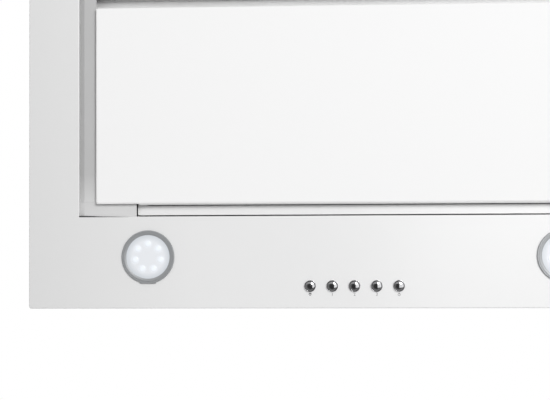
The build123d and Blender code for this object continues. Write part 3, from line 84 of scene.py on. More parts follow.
# ------------------------------------------------------------------ node graphs
class Graph:
    """A node tree with short calls for adding and joining nodes."""

    def __init__(self, tree: bpy.types.NodeTree) -> None:
        """Takes over a tree.

        Args:
            tree: The tree of a material, a world or a group, emptied first.
        """
        self.tree = tree
        self.tree.nodes.clear()

    def add(
        self, kind: str, inputs: Mapping[Union[str, int], Value] | None = None, **settings: object
    ) -> bpy.types.Node:
        """Adds a node.

        Args:
            kind: The node's type, without its ShaderNode prefix where it has one.
            inputs: Values for its inputs by name or number, or sockets to join them to.
            settings: The node's own properties.

        Returns:
            The new node.
        """
        known = kind if kind.startswith("NodeGroup") else "ShaderNode" + kind
        node = self.tree.nodes.new(known)
        for key, value in settings.items():
            setattr(node, key, value)
        for key, value in (inputs or {}).items():
            self.put(node.inputs[key], value)
        return node

    def put(self, socket: Socket, value: Value) -> None:
        """Joins an input to a socket, or sets its value."""
        if isinstance(value, bpy.types.NodeSocket):
            self.tree.links.new(value, socket)
        elif socket.type == "RGBA":
            socket.default_value = (*value, 1.0)
        else:
            socket.default_value = value

    def maths(self, operation: str, a: Value, b: Value = 0.0, clamp: bool = False) -> Socket:
        """One step of arithmetic, as a socket."""
        return self.add("Math", {0: a, 1: b}, operation=operation, use_clamp=clamp).outputs[0]

    def spread(self, value: Socket, low: float, high: float, start: float = 0.0, end: float = 1.0) -> Socket:
        """Maps a value from the range start to end onto low to high."""
        inputs = {"Value": value, "From Min": start, "From Max": end, "To Min": low, "To Max": high}
        return self.add("MapRange", inputs).outputs["Result"]

    def blend(self, share: Value, first: Value, second: Value) -> Socket:
        """Mixes two colours."""
        node = self.add("Mix", data_type="RGBA")
        for key, value in ((0, share), (6, first), (7, second)):
            self.put(node.inputs[key], value)
        return node.outputs[2]

    def shared(self, effect: "Effect", place: Socket, scale: float, **more: float) -> bpy.types.Node:
        """Places a shared effect's node group, which is made on its first use.

        Args:
            effect: The effect to place.
            place: The pattern's coordinates.
            scale: Its scale.
            more: Its other inputs by name.

        Returns:
            The group node.
        """
        tree = bpy.data.node_groups.get(effect.value) or GROUP_MAKERS[effect]()
        return self.add("Group", {"Vector": place, "Scale": scale, **more}, node_tree=tree)


class Effect(Enum):
    """Shader effects that several finishes share, each a node group."""

    GRAIN = "fine_grain"
    CLOUD = "soft_clouding"
    SPANGLE = "zinc_spangle"
    BRUSHED = "brushed_lines"


def group_tree(
    effect: Effect, inputs: Mapping[str, float], outputs: Iterable[str]
) -> tuple[Graph, dict[str, Socket], bpy.types.Node]:
    """Starts a shared node group whose first input is the pattern's coordinates.

    Args:
        effect: The effect that it makes.
        inputs: Its number inputs, with what each starts at.
        outputs: The names of its outputs, all numbers.

    Returns:
        The group's graph, its input sockets by name, and the node that takes its outputs.
    """
    tree = bpy.data.node_groups.new(effect.value, "ShaderNodeTree")
    face = tree.interface
    face.new_socket("Vector", in_out="INPUT", socket_type="NodeSocketVector")
    for name, start in inputs.items():
        face.new_socket(name, in_out="INPUT", socket_type="NodeSocketFloat").default_value = start
    for name in outputs:
        face.new_socket(name, in_out="OUTPUT", socket_type="NodeSocketFloat")
    graph = Graph(tree)
    entry = graph.add("NodeGroupInput")
    leave = graph.add("NodeGroupOutput")
    return graph, {s.name: s for s in entry.outputs if s.name}, leave


def grain_group() -> bpy.types.NodeTree:
    """Fine even grain, such as powder coat or spark-eroded moulding: a height and a roughness shift."""
    graph, given, leave = group_tree(Effect.GRAIN, {"Scale": 900.0}, ("Height", "Shift"))
    fine = graph.add("TexNoise", {**given, "Detail": 3.0})
    coarse = graph.maths("MULTIPLY", given["Scale"], 0.13)
    broad = graph.add("TexNoise", {**given, "Scale": coarse, "Detail": 2.0})
    graph.put(leave.inputs["Height"], fine.outputs["Fac"])
    graph.put(leave.inputs["Shift"], graph.maths("SUBTRACT", broad.outputs["Fac"], 0.5))
    return graph.tree


def cloud_group() -> bpy.types.NodeTree:
    """Slow clouding over a surface."""
    graph, given, leave = group_tree(Effect.CLOUD, {"Scale": 14.0}, ("Cloud",))
    cloud = graph.add("TexNoise", {**given, "Detail": 4.0, "Distortion": 0.6})
    graph.put(leave.inputs["Cloud"], graph.spread(cloud.outputs["Fac"], 0.0, 1.0, *NOISE_BAND))
    return graph.tree


def spangle_group() -> bpy.types.NodeTree:
    """Crystals of hot-dip zinc: a tone for each crystal and a height along their edges."""
    graph, given, leave = group_tree(Effect.SPANGLE, {"Scale": 120.0, "Warp": 0.004}, ("Tone", "Height"))
    place, scale = given["Vector"], given["Scale"]
    bend = graph.add("TexNoise", {"Vector": place, "Scale": graph.maths("MULTIPLY", scale, 0.8)})
    centred = graph.add("VectorMath", {0: bend.outputs["Color"], 1: (0.5, 0.5, 0.5)}, operation="SUBTRACT")
    push = graph.add("VectorMath", {0: centred.outputs[0], "Scale": given["Warp"]}, operation="SCALE")
    moved = graph.add("VectorMath", {0: place, 1: push.outputs[0]}, operation="ADD").outputs[0]
    large = graph.add("TexVoronoi", {"Vector": moved, "Scale": scale})
    small = graph.add("TexVoronoi", {"Vector": moved, "Scale": graph.maths("MULTIPLY", scale, 2.3)})
    large_tone = graph.add("SeparateColor", {0: large.outputs["Color"]}).outputs[0]
    small_tone = graph.add("SeparateColor", {0: small.outputs["Color"]}).outputs[1]
    shares = [graph.maths("MULTIPLY", large_tone, 0.65), graph.maths("MULTIPLY", small_tone, 0.35)]
    tone = graph.maths("ADD", *shares)
    graph.put(leave.inputs["Tone"], tone)
    step = graph.maths("MULTIPLY", tone, 0.2)
    graph.put(leave.inputs["Height"], graph.maths("ADD", large.outputs["Distance"], step))
    return graph.tree


def brushed_group() -> bpy.types.NodeTree:
    """Straight rolling or brushing marks, long in X where the coordinates are squeezed there."""
    graph, given, leave = group_tree(Effect.BRUSHED, {"Scale": 1.0, "Stretch": 0.02}, ("Line", "Height"))
    parts = graph.add("SeparateXYZ", {0: given["Vector"]}).outputs
    drawn = graph.maths("MULTIPLY", parts[0], given["Stretch"])
    place = graph.add("CombineXYZ", {0: drawn, 1: parts[1], 2: parts[2]}).outputs[0]
    looks = {"Vector": place, "Scale": given["Scale"], "Detail": 5.0, "Roughness": 0.65}
    lines = graph.add("TexNoise", looks).outputs["Fac"]
    graph.put(leave.inputs["Line"], graph.spread(lines, 0.0, 1.0, *NOISE_BAND))
    graph.put(leave.inputs["Height"], lines)
    return graph.tree


GROUP_MAKERS: dict[Effect, Callable[[], bpy.types.NodeTree]] = {
    Effect.GRAIN: grain_group,
    Effect.CLOUD: cloud_group,
    Effect.SPANGLE: spangle_group,
    Effect.BRUSHED: brushed_group,
}


# ------------------------------------------------------------------ finishes
MATERIALS: dict[str, bpy.types.Material] = {}


def grey(tone: float) -> Colour:
    """A neutral linear colour."""
    return (tone, tone, tone)


WHITE = grey(1.0)


def new_material(name: str) -> tuple[bpy.types.Material, Graph]:
    """Starts a material with an empty node tree."""
    made = bpy.data.materials.new(name)
    made.use_nodes = True
    return made, Graph(made.node_tree)


@dataclass(frozen=True)
class Finish:
    """A surface finish: one procedural material with its own grain and clouding.

    Attributes:
        name: The material's name.
        colour: Its linear colour.
        roughness: Its middle roughness.
        metallic: 1 for bare metal, 0 for paint, glass and plastic.
        grain_scale: Grains to the metre.
        bump: Height of the grain in metres.
        rough_shift: How far the roughness wanders.
        tint: The linear colour that clouding leads to.
        tint_share: How far it leads there.
        cloud_scale: Clouds to the metre.
        specular: The specular level of the shader.
    """

    name: str
    colour: Colour
    roughness: float
    metallic: float = 0.0
    grain_scale: float = 900.0
    bump: float = 0.00002
    rough_shift: float = 0.15
    tint: Colour = grey(0.5)
    tint_share: float = 0.1
    cloud_scale: float = 14.0
    specular: float = 0.5

    def material(self) -> bpy.types.Material:
        """Builds the material once, and gives the same one after that."""
        if self.name in MATERIALS:
            return MATERIALS[self.name]
        made, graph = new_material(self.name)
        MATERIALS[self.name] = made
        place = graph.add("TexCoord").outputs["Object"]
        shader = graph.add("BsdfPrincipled", {"Specular IOR Level": self.specular, "Metallic": self.metallic})
        graph.add("OutputMaterial", {"Surface": shader.outputs[0]})
        self.dress(graph, shader, place)
        made.diffuse_color = (*self.colour, 1.0)
        return made

    def cloud(self, graph: Graph, shader: bpy.types.Node, place: Socket, base: Value) -> None:
        """Joins a colour under slow clouding to the shader."""
        film = graph.shared(Effect.CLOUD, place, self.cloud_scale).outputs["Cloud"]
        share = graph.maths("MULTIPLY", film, self.tint_share)
        graph.put(shader.inputs["Base Color"], graph.blend(share, base, self.tint))

    def roughen(self, graph: Graph, shader: bpy.types.Node, wander: Socket) -> None:
        """Joins the middle roughness and its wander to the shader."""
        graph.put(shader.inputs["Roughness"], graph.maths("ADD", wander, self.roughness, clamp=True))

    def relief(self, graph: Graph, shader: bpy.types.Node, height: Socket) -> None:
        """Joins a height, from 0 to about 1 and then as deep as the finish's bump, to the shader."""
        bump = graph.add("Bump", {"Height": height, "Distance": self.bump})
        graph.put(shader.inputs["Normal"], bump.outputs[0])

    def dress(self, graph: Graph, shader: bpy.types.Node, place: Socket) -> None:
        """Joins the finish's own pattern to the shader: even grain under slow clouding."""
        grain = graph.shared(Effect.GRAIN, place, self.grain_scale).outputs
        self.cloud(graph, shader, place, self.colour)
        self.roughen(graph, shader, graph.maths("MULTIPLY", grain["Shift"], self.rough_shift))
        self.relief(graph, shader, grain["Height"])

    def metal(
        self,
        graph: Graph,
        shader: bpy.types.Node,
        place: Socket,
        pattern: Socket,
        share: Socket,
        height: Socket,
    ) -> None:
        """Joins a metal's pattern to the shader.

        Args:
            graph: The finish's graph.
            shader: The Principled shader.
            place: The coordinates.
            pattern: What the roughness follows.
            share: How far the colour goes to the tint.
            height: The pattern's height.
        """
        self.cloud(graph, shader, place, graph.blend(share, self.colour, self.tint))
        self.roughen(graph, shader, graph.spread(pattern, -self.rough_shift, self.rough_shift))
        self.relief(graph, shader, height)


@dataclass(frozen=True)
class ZincSheet(Finish):
    """Hot-dip galvanised sheet: grey crystals with dull and bright faces."""

    metallic: float = 1.0
    spangle_scale: float = 75.0
    contrast: float = 0.45

    def dress(self, graph: Graph, shader: bpy.types.Node, place: Socket) -> None:
        """Joins the crystals to the colour, the roughness and the normal."""
        spangle = graph.shared(Effect.SPANGLE, place, self.spangle_scale).outputs
        share = graph.spread(spangle["Tone"], 0.0, self.contrast)
        self.metal(graph, shader, place, spangle["Tone"], share, spangle["Height"])


@dataclass(frozen=True)
class RolledMetal(Finish):
    """Bare or plated metal with fine straight rolling or turning marks."""

    metallic: float = 1.0
    line_scale: float = 1500.0
    stretch: float = 0.03

    def dress(self, graph: Graph, shader: bpy.types.Node, place: Socket) -> None:
        """Joins the lines to the colour, the roughness and the normal."""
        lines = graph.shared(Effect.BRUSHED, place, self.line_scale, Stretch=self.stretch).outputs
        share = graph.maths("MULTIPLY", lines["Line"], self.tint_share)
        self.metal(graph, shader, place, lines["Line"], share, lines["Height"])


@dataclass(frozen=True)
class Enamel(Finish):
    """Baked enamel: a fine low grain with a slight wander of the gloss."""

    grain_scale: float = 700.0
    bump: float = 0.000012
    rough_shift: float = 0.12


@dataclass(frozen=True)
class PaintedLightAndShadeEnamel(Enamel):
    """Enamel with painted light and shade: its tone changes along one axis, standing in for how light falls
    there.

    Attributes:
        end_colour: The linear colour that the painted change leads to.
        axis: 0 for X, 1 for Y.
        painted_span: Where the painted change starts and where it ends along the axis, in metres.
    """

    end_colour: Colour = grey(0.575)
    axis: int = 1
    painted_span: tuple[float, float] = (-0.037, -0.057)

    def dress(self, graph: Graph, shader: bpy.types.Node, place: Socket) -> None:
        """Lays the painted light and shade change over the plain enamel."""
        super().dress(graph, shader, place)
        plain = shader.inputs["Base Color"].links[0].from_socket
        along = graph.add("SeparateXYZ", {0: place}).outputs[self.axis]
        share = graph.spread(along, 0.0, 1.0, *self.painted_span)
        graph.put(shader.inputs["Base Color"], graph.blend(share, plain, self.end_colour))


@dataclass(frozen=True)
class LitLens(Finish):
    """Frosted lamp lens: a cool glow, brightest over each light source behind it.

    Attributes:
        centre: The lens's centre in the row frame, X and Y in metres.
        radius: Its radius.
        rim: The colour that the glow falls to at its edge.
        fall_start: Where it starts to fall, as a share of the radius.
        count: How many sources lie behind it.
        circle: Radius of the circle that they lie on.
        spot: Radius of the bright spot over each.
        glow: The spots' colour.
        strength: Strength of the light that the lens gives off.
        ridges: Fine rings to the metre, pressed into the lens.
    """

    centre: tuple[float, float] = (0.0, 0.0)
    radius: float = 0.017
    rim: Colour = (0.435, 0.485, 0.545)
    fall_start: float = 0.72
    count: int = 7
    circle: float = 0.0105
    spot: float = 0.0046
    glow: Colour = WHITE
    strength: float = 0.47
    ridges: float = 1800.0

    def dress(self, graph: Graph, shader: bpy.types.Node, place: Socket) -> None:
        """Joins the spots to the glow and the frosting to the normal."""
        parts = graph.add("SeparateXYZ", {0: place})
        dx = graph.maths("SUBTRACT", parts.outputs[0], self.centre[0])
        dy = graph.maths("SUBTRACT", parts.outputs[1], self.centre[1])
        flat = graph.add("CombineXYZ", {0: dx, 1: dy})
        nearest: Value = 1.0
        for i in range(self.count):
            turn = math.pi / 2 + i * math.tau / self.count
            at = (self.circle * math.cos(turn), self.circle * math.sin(turn), 0.0)
            gap = graph.add("VectorMath", {0: flat.outputs[0], 1: at}, operation="DISTANCE")
            nearest = graph.maths("MINIMUM", nearest, gap.outputs["Value"])
        spot = {"Value": nearest, "From Max": self.spot, "To Min": 1.0, "To Max": 0.0}
        near = graph.add("MapRange", spot, interpolation_type="SMOOTHSTEP").outputs["Result"]
        out = graph.add("VectorMath", {0: flat.outputs[0]}, operation="LENGTH").outputs["Value"]
        fall = graph.spread(out, 0.0, 1.0, self.fall_start * self.radius, self.radius)
        glow = graph.blend(fall, self.tint, self.rim)
        graph.put(shader.inputs["Base Color"], graph.blend(near, self.colour, self.rim))
        graph.put(shader.inputs["Emission Color"], graph.blend(near, glow, self.glow))
        shader.inputs["Emission Strength"].default_value = self.strength
        grain = graph.shared(Effect.GRAIN, place, self.grain_scale).outputs
        self.roughen(graph, shader, graph.maths("MULTIPLY", grain["Shift"], self.rough_shift))
        waves = graph.maths("SINE", graph.maths("MULTIPLY", out, self.ridges * math.tau))
        self.relief(graph, shader, graph.maths("ADD", grain["Height"], graph.maths("MULTIPLY", waves, 0.5)))


# The frame's white enamel, with painted shade: darker from X 0.13 m out to the +X end.
FRAME_ENAMEL_PAINTED_SHADE = PaintedLightAndShadeEnamel(
    "baked_white_enamel_painted_shade", grey(0.745), 0.40,
    tint=(0.73, 0.733, 0.736), tint_share=0.3, cloud_scale=5.0, end_colour=grey(0.675), axis=0,
    painted_span=(0.13, 0.262),
)
# A lighter copy of the white enamel for the deep tray: painted light.
TRAY_PAINTED_LIGHT = Enamel(
    "tray_enamel_painted_light", grey(0.84), 0.45,
    tint=(0.77, 0.77, 0.765), tint_share=0.4, cloud_scale=16.0,
)
# A lighter copy of the white enamel for the strip and its end plates: painted light that offsets the shade
# under the panel's edge.
STRIP_PAINTED_LIGHT = Enamel(
    "strip_enamel_painted_light", grey(0.79), 0.40,
    tint=(0.775, 0.777, 0.779), tint_share=0.3, cloud_scale=5.0,
)
# A darker copy of the white enamel for the plates in the slots beside the panel: painted shade, with painted
# light making it lighter towards the front (-Y).
SLOT_PAINTED_SHADE = PaintedLightAndShadeEnamel(
    "slot_enamel_painted_shade", grey(0.46), 0.5,
    tint=grey(0.43), tint_share=0.4, cloud_scale=30.0,
)
# A darker copy of the white enamel for the corner plates: painted shade.
RECESS_PAINTED_SHADE = Enamel(
    "recess_enamel_painted_shade", grey(0.60), 0.5,
    tint=grey(0.64), tint_share=0.4, cloud_scale=30.0,
)
TRIM = Finish(
    "pale_edge_trim", grey(0.62), 0.4, grain_scale=1500.0, bump=0.00001,
    tint=grey(0.56), tint_share=0.4, cloud_scale=40.0,
)
# Near-black for painted shadow: the line at the strip's rear edge and the wedges at the opening's corners.
PAINTED_SHADOW = Finish(
    "painted_shadow_black", (0.05, 0.05, 0.051), 0.6, grain_scale=2000.0, bump=0.00002,
    tint=grey(0.09), tint_share=0.4, cloud_scale=90.0,
)
PLATE_ENAMEL = Finish(
    "white_backed_glass", grey(0.815), 0.4, grain_scale=300.0, bump=0.000003, rough_shift=0.06,
    tint=(0.805, 0.807, 0.809), tint_share=0.2, cloud_scale=4.0, specular=0.0,
)
GALVANISED = ZincSheet(
    "galvanised_sheet", (0.60, 0.62, 0.635), 0.38, bump=0.00003, rough_shift=0.1,
    tint=(0.40, 0.425, 0.45), tint_share=0.2, cloud_scale=9.0,
)
PLATED = RolledMetal(
    "zinc_plated_steel", (0.63, 0.635, 0.63), 0.3, bump=0.000008, rough_shift=0.08,
    tint=(0.56, 0.555, 0.50), tint_share=0.3, cloud_scale=60.0,
)
BLACK = Finish(
    "black_plastic", (0.018, 0.018, 0.019), 0.42, grain_scale=1500.0, bump=0.00003,
    rough_shift=0.2, tint=(0.03, 0.03, 0.032), tint_share=0.5, cloud_scale=20.0,
)
GREY = Finish(
    "grey_plastic", (0.30, 0.31, 0.32), 0.45, grain_scale=1300.0, bump=0.00003,
    rough_shift=0.2, tint=(0.25, 0.26, 0.27), tint_share=0.4, cloud_scale=20.0,
)
LAMP_RING = RolledMetal(
    "grey_lamp_trim", (0.31, 0.32, 0.33), 0.42, metallic=0.2, bump=0.000004, rough_shift=0.06,
    tint=(0.31, 0.318, 0.326), tint_share=0.3, cloud_scale=70.0,
)
BOARD = Finish(
    "lamp_board", (0.78, 0.79, 0.76), 0.4, grain_scale=1800.0, bump=0.00001,
    tint=(0.62, 0.6, 0.35), tint_share=0.2, cloud_scale=120.0,
)
DARK_CHROME = RolledMetal(
    "smoked_chrome", (0.56, 0.56, 0.57), 0.08, line_scale=400.0, stretch=1.0, bump=0.000001,
    rough_shift=0.03, tint=(0.38, 0.38, 0.39), tint_share=0.3, cloud_scale=150.0,
)
FILTER_METAL = RolledMetal(
    "bright_filter_aluminium", (0.62, 0.63, 0.64), 0.36, bump=0.00001, rough_shift=0.1,
    tint=(0.45, 0.46, 0.48), tint_share=0.3, cloud_scale=50.0,
)
MOTOR_STEEL = RolledMetal(
    "painted_motor_steel", (0.36, 0.37, 0.38), 0.42, line_scale=1100.0, bump=0.00001, rough_shift=0.12,
    tint=(0.26, 0.26, 0.27), tint_share=0.4, cloud_scale=30.0,
)
MAGNET = Finish(
    "ferrite_magnet", (0.035, 0.034, 0.034), 0.6, grain_scale=2200.0, bump=0.00002,
    tint=(0.07, 0.065, 0.06), tint_share=0.4, cloud_scale=60.0,
)
CAN = RolledMetal(
    "drawn_can", (0.68, 0.69, 0.7), 0.33, bump=0.000008, rough_shift=0.1,
    tint=(0.5, 0.51, 0.52), tint_share=0.3, cloud_scale=40.0,
)
HEAT_SINK = Finish(
    "dark_cast_fins", (0.07, 0.072, 0.075), 0.5, metallic=0.4, grain_scale=1500.0, bump=0.00002,
    tint=(0.12, 0.12, 0.125), tint_share=0.4, cloud_scale=60.0,
)
SWITCHES = Finish(
    "ivory_switch_plastic", (0.55, 0.54, 0.5), 0.45, grain_scale=1300.0, bump=0.00002,
    tint=(0.45, 0.44, 0.4), tint_share=0.4, cloud_scale=25.0,
)
PRINT = Finish(
    "grey_print", (0.17, 0.17, 0.175), 0.5, grain_scale=2600.0, bump=0.000004,
    tint=(0.24, 0.24, 0.245), tint_share=0.3, cloud_scale=200.0,
)


# ------------------------------------------------------------------ modelling bench
class Bench:
    """The calls that every sub-assembly models with. All sizes are metres."""

    @staticmethod
    def clear() -> None:
        """Deselects every object."""
        for item in bpy.context.selected_objects:
            item.select_set(False)

    @staticmethod
    def activate(piece: bpy.types.Object) -> None:
        """Makes a piece the active and only selected one."""
        Bench.clear()
        bpy.context.view_layer.objects.active = piece
        piece.select_set(True)

    @staticmethod
    @contextmanager
    def editing(piece: bpy.types.Object, mode: str = "FACE") -> Iterator[bpy.types.Object]:
        """Opens a piece in edit mode.

        Args:
            piece: The piece to edit.
            mode: VERT, EDGE or FACE selection.

        Yields:
            The piece.
        """
        Bench.activate(piece)
        bpy.ops.object.mode_set(mode="EDIT")
        bpy.ops.mesh.select_mode(type=mode)
        try:
            yield piece
        finally:
            bpy.ops.object.mode_set(mode="OBJECT")

    @staticmethod
    def pick(piece: bpy.types.Object, test: Callable[[Vector, Vector], bool]) -> None:
        """Selects, in edit mode, just the faces that a test of centre and normal accepts."""
        bpy.ops.mesh.select_all(action="DESELECT")
        bpy.ops.object.mode_set(mode="OBJECT")
        for face in piece.data.polygons:
            face.select = bool(test(face.center, face.normal))
        bpy.ops.object.mode_set(mode="EDIT")

    @staticmethod
    def push(by: Point) -> None:
        """Extrudes, in edit mode, the selected faces by a distance."""
        bpy.ops.mesh.extrude_region_move(TRANSFORM_OT_translate={"value": by})

    @staticmethod
    def bevel(
        piece: bpy.types.Object, test: Callable[[Vector, Vector], bool], offset: float, segments: int
    ) -> None:
        """Bevels the edges that a test of their two ends accepts.

        Args:
            piece: The piece.
            test: Takes an edge's two ends.
            offset: The bevel's offset.
            segments: Its steps.
        """
        with Bench.editing(piece, "EDGE"):
            bpy.ops.mesh.select_all(action="DESELECT")
            bpy.ops.object.mode_set(mode="OBJECT")
            points = piece.data.vertices
            for edge in piece.data.edges:
                edge.select = bool(test(*(points[index].co for index in edge.vertices)))
            bpy.ops.object.mode_set(mode="EDIT")
            bpy.ops.mesh.bevel(offset=offset, segments=segments, affect="EDGES")

    @staticmethod
    def settle(piece: bpy.types.Object) -> bpy.types.Object:
        """Puts a piece's place, turn and scale into its mesh."""
        Bench.activate(piece)
        bpy.ops.object.transform_apply(location=True, rotation=True, scale=True)
        return piece

    @staticmethod
    def named(name: str) -> bpy.types.Object:
        """Names the active new primitive and settles it."""
        piece = bpy.context.active_object
        piece.name = name
        piece.data.name = name
        return Bench.settle(piece)

    @staticmethod
    def box(name: str, low: Point, high: Point) -> bpy.types.Object:
        """Starts a piece from a box between two corners."""
        Bench.clear()
        middle = [(a + b) / 2 for a, b in zip(low, high)]
        size = [b - a for a, b in zip(low, high)]
        bpy.ops.mesh.primitive_cube_add(size=1.0, location=middle, scale=size)
        return Bench.named(name)

    @staticmethod
    def drum(
        name: str, radius: float, start: float, end: float, centre: Point, sides: int
    ) -> bpy.types.Object:
        """Starts a piece from an upright cylinder.

        Args:
            name: The piece's name.
            radius: Its radius.
            start: Its lower end.
            end: Its upper end.
            centre: Its axis, X and Y.
            sides: Its number of sides.

        Returns:
            The piece.
        """
        Bench.clear()
        place = (*centre, (start + end) / 2)
        bpy.ops.mesh.primitive_cylinder_add(vertices=sides, radius=radius, depth=end - start, location=place)
        return Bench.named(name)

    @staticmethod
    def turned(name: str, profile: Sequence[Point], centre: Point, steps: int = 96) -> bpy.types.Object:
        """Turns a closed or axis-to-axis profile about an upright axis.

        Args:
            name: The piece's name.
            profile: Its (radius, height) points in order.
            centre: The axis's X and Y.
            steps: Steps in the full turn.

        Returns:
            The piece, merged and with its normals outward.
        """
        Bench.clear()
        bpy.ops.mesh.primitive_plane_add(size=1.0, location=(0, 0, 0))
        piece = Bench.named(name)
        with Bench.editing(piece, "VERT"):
            bpy.ops.mesh.delete(type="VERT")
        mesh = piece.data
        mesh.vertices.add(len(profile))
        for vertex, (radius, height) in zip(mesh.vertices, profile):
            vertex.co = (centre[0] + radius, centre[1], height)
        closed = profile[0][0] > 0 or profile[-1][0] > 0
        count = len(profile) if closed else len(profile) - 1
        mesh.edges.add(count)
        for i, edge in enumerate(mesh.edges):
            edge.vertices = (i, (i + 1) % len(profile))
        with Bench.editing(piece, "VERT"):
            bpy.ops.mesh.select_all(action="SELECT")
            bpy.ops.mesh.spin(steps=steps, angle=math.tau, center=(centre[0], centre[1], 0.0), axis=(0, 0, 1))
            bpy.ops.mesh.select_all(action="SELECT")
            bpy.ops.mesh.remove_doubles(threshold=SAME)
            bpy.ops.mesh.normals_make_consistent(inside=False)
        return piece

    @staticmethod
    def modify(piece: bpy.types.Object, kind: str, **settings: object) -> None:
        """Adds a modifier and applies it.

        Args:
            piece: The piece.
            kind: The modifier's type.
            settings: Its properties.
        """
        Bench.activate(piece)
        made = piece.modifiers.new(kind.lower(), kind)
        for key, value in settings.items():
            setattr(made, key, value)
        bpy.ops.object.modifier_apply(modifier=made.name)

    @staticmethod
    def weld(pieces: Sequence[bpy.types.Object], name: str = "") -> bpy.types.Object:
        """Joins pieces into the first one, and renames it where a name is given."""
        Bench.clear()
        for piece in pieces:
            piece.select_set(True)
        bpy.context.view_layer.objects.active = pieces[0]
        if len(pieces) > 1:
            bpy.ops.object.join()
        if name:
            pieces[0].name = name
        return pieces[0]

    @staticmethod
    def copy(piece: bpy.types.Object, name: str, by: Point) -> bpy.types.Object:
        """Copies a piece, with its own mesh, moved by a distance."""
        made = piece.copy()
        made.data = piece.data.copy()
        made.name = name
        made.data.name = name
        bpy.context.scene.collection.objects.link(made)
        made.data.transform(Matrix.Translation(by))
        return made

    @staticmethod
    def lay(piece: bpy.types.Object, place: Point, facing: Point, along: Point) -> bpy.types.Object:
        """Lays a piece that was modelled along X on the level plane at the origin.

        Args:
            piece: The piece.
            place: Where its origin goes.
            facing: Where its upright goes.
            along: Where its X goes.

        Returns:
            The piece.
        """
        up, ahead = Vector(facing).normalized(), Vector(along).normalized()
        turn = Matrix((ahead, up.cross(ahead), up)).transposed().to_4x4()
        piece.data.transform(Matrix.Translation(place) @ turn)
        return piece

    @staticmethod
    def seat(
        piece: bpy.types.Object, body: Body | str, finish: Finish, slot: str, stands_for: Sequence[str] = ()
    ) -> bpy.types.Object:
        """Shades, dresses and seats a finished piece.

        Args:
            piece: The piece.
            body: The CAD body that it rides on.
            finish: Its finish.
            slot: The record's material slot that it belongs to. Not used.
            stands_for: The CAD nodes that it replaces.

        Returns:
            The piece.
        """
        Bench.activate(piece)
        bpy.ops.object.shade_smooth_by_angle(angle=SMOOTH_ANGLE)
        piece.data.materials.clear()
        piece.data.materials.append(finish.material())
        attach(piece, body.value if isinstance(body, Body) else body)
        if stands_for:
            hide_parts(*stands_for)
        LOG.info("%s: %d faces", piece.name, len(piece.data.polygons))
        return piece


# ------------------------------------------------------------------ sub-assemblies
@dataclass
class SubAssembly:
    """CAD nodes that are dressed, replaced and added to together.

    Attributes:
        nodes: All the CAD nodes by name.
    """

    nodes: dict[str, bpy.types.Object]

    def dress(self, finish: Finish, *names: str) -> None:
        """Gives CAD nodes a finish.

        Args:
            finish: Their finish.
            names: Which nodes.
        """
        for name in names:
            piece = self.nodes[name]
            for slot in piece.material_slots:
                slot.material = finish.material()
            if not piece.material_slots:
                piece.data.materials.append(finish.material())
            LOG.info("%s: dressed as %s", name, finish.name)


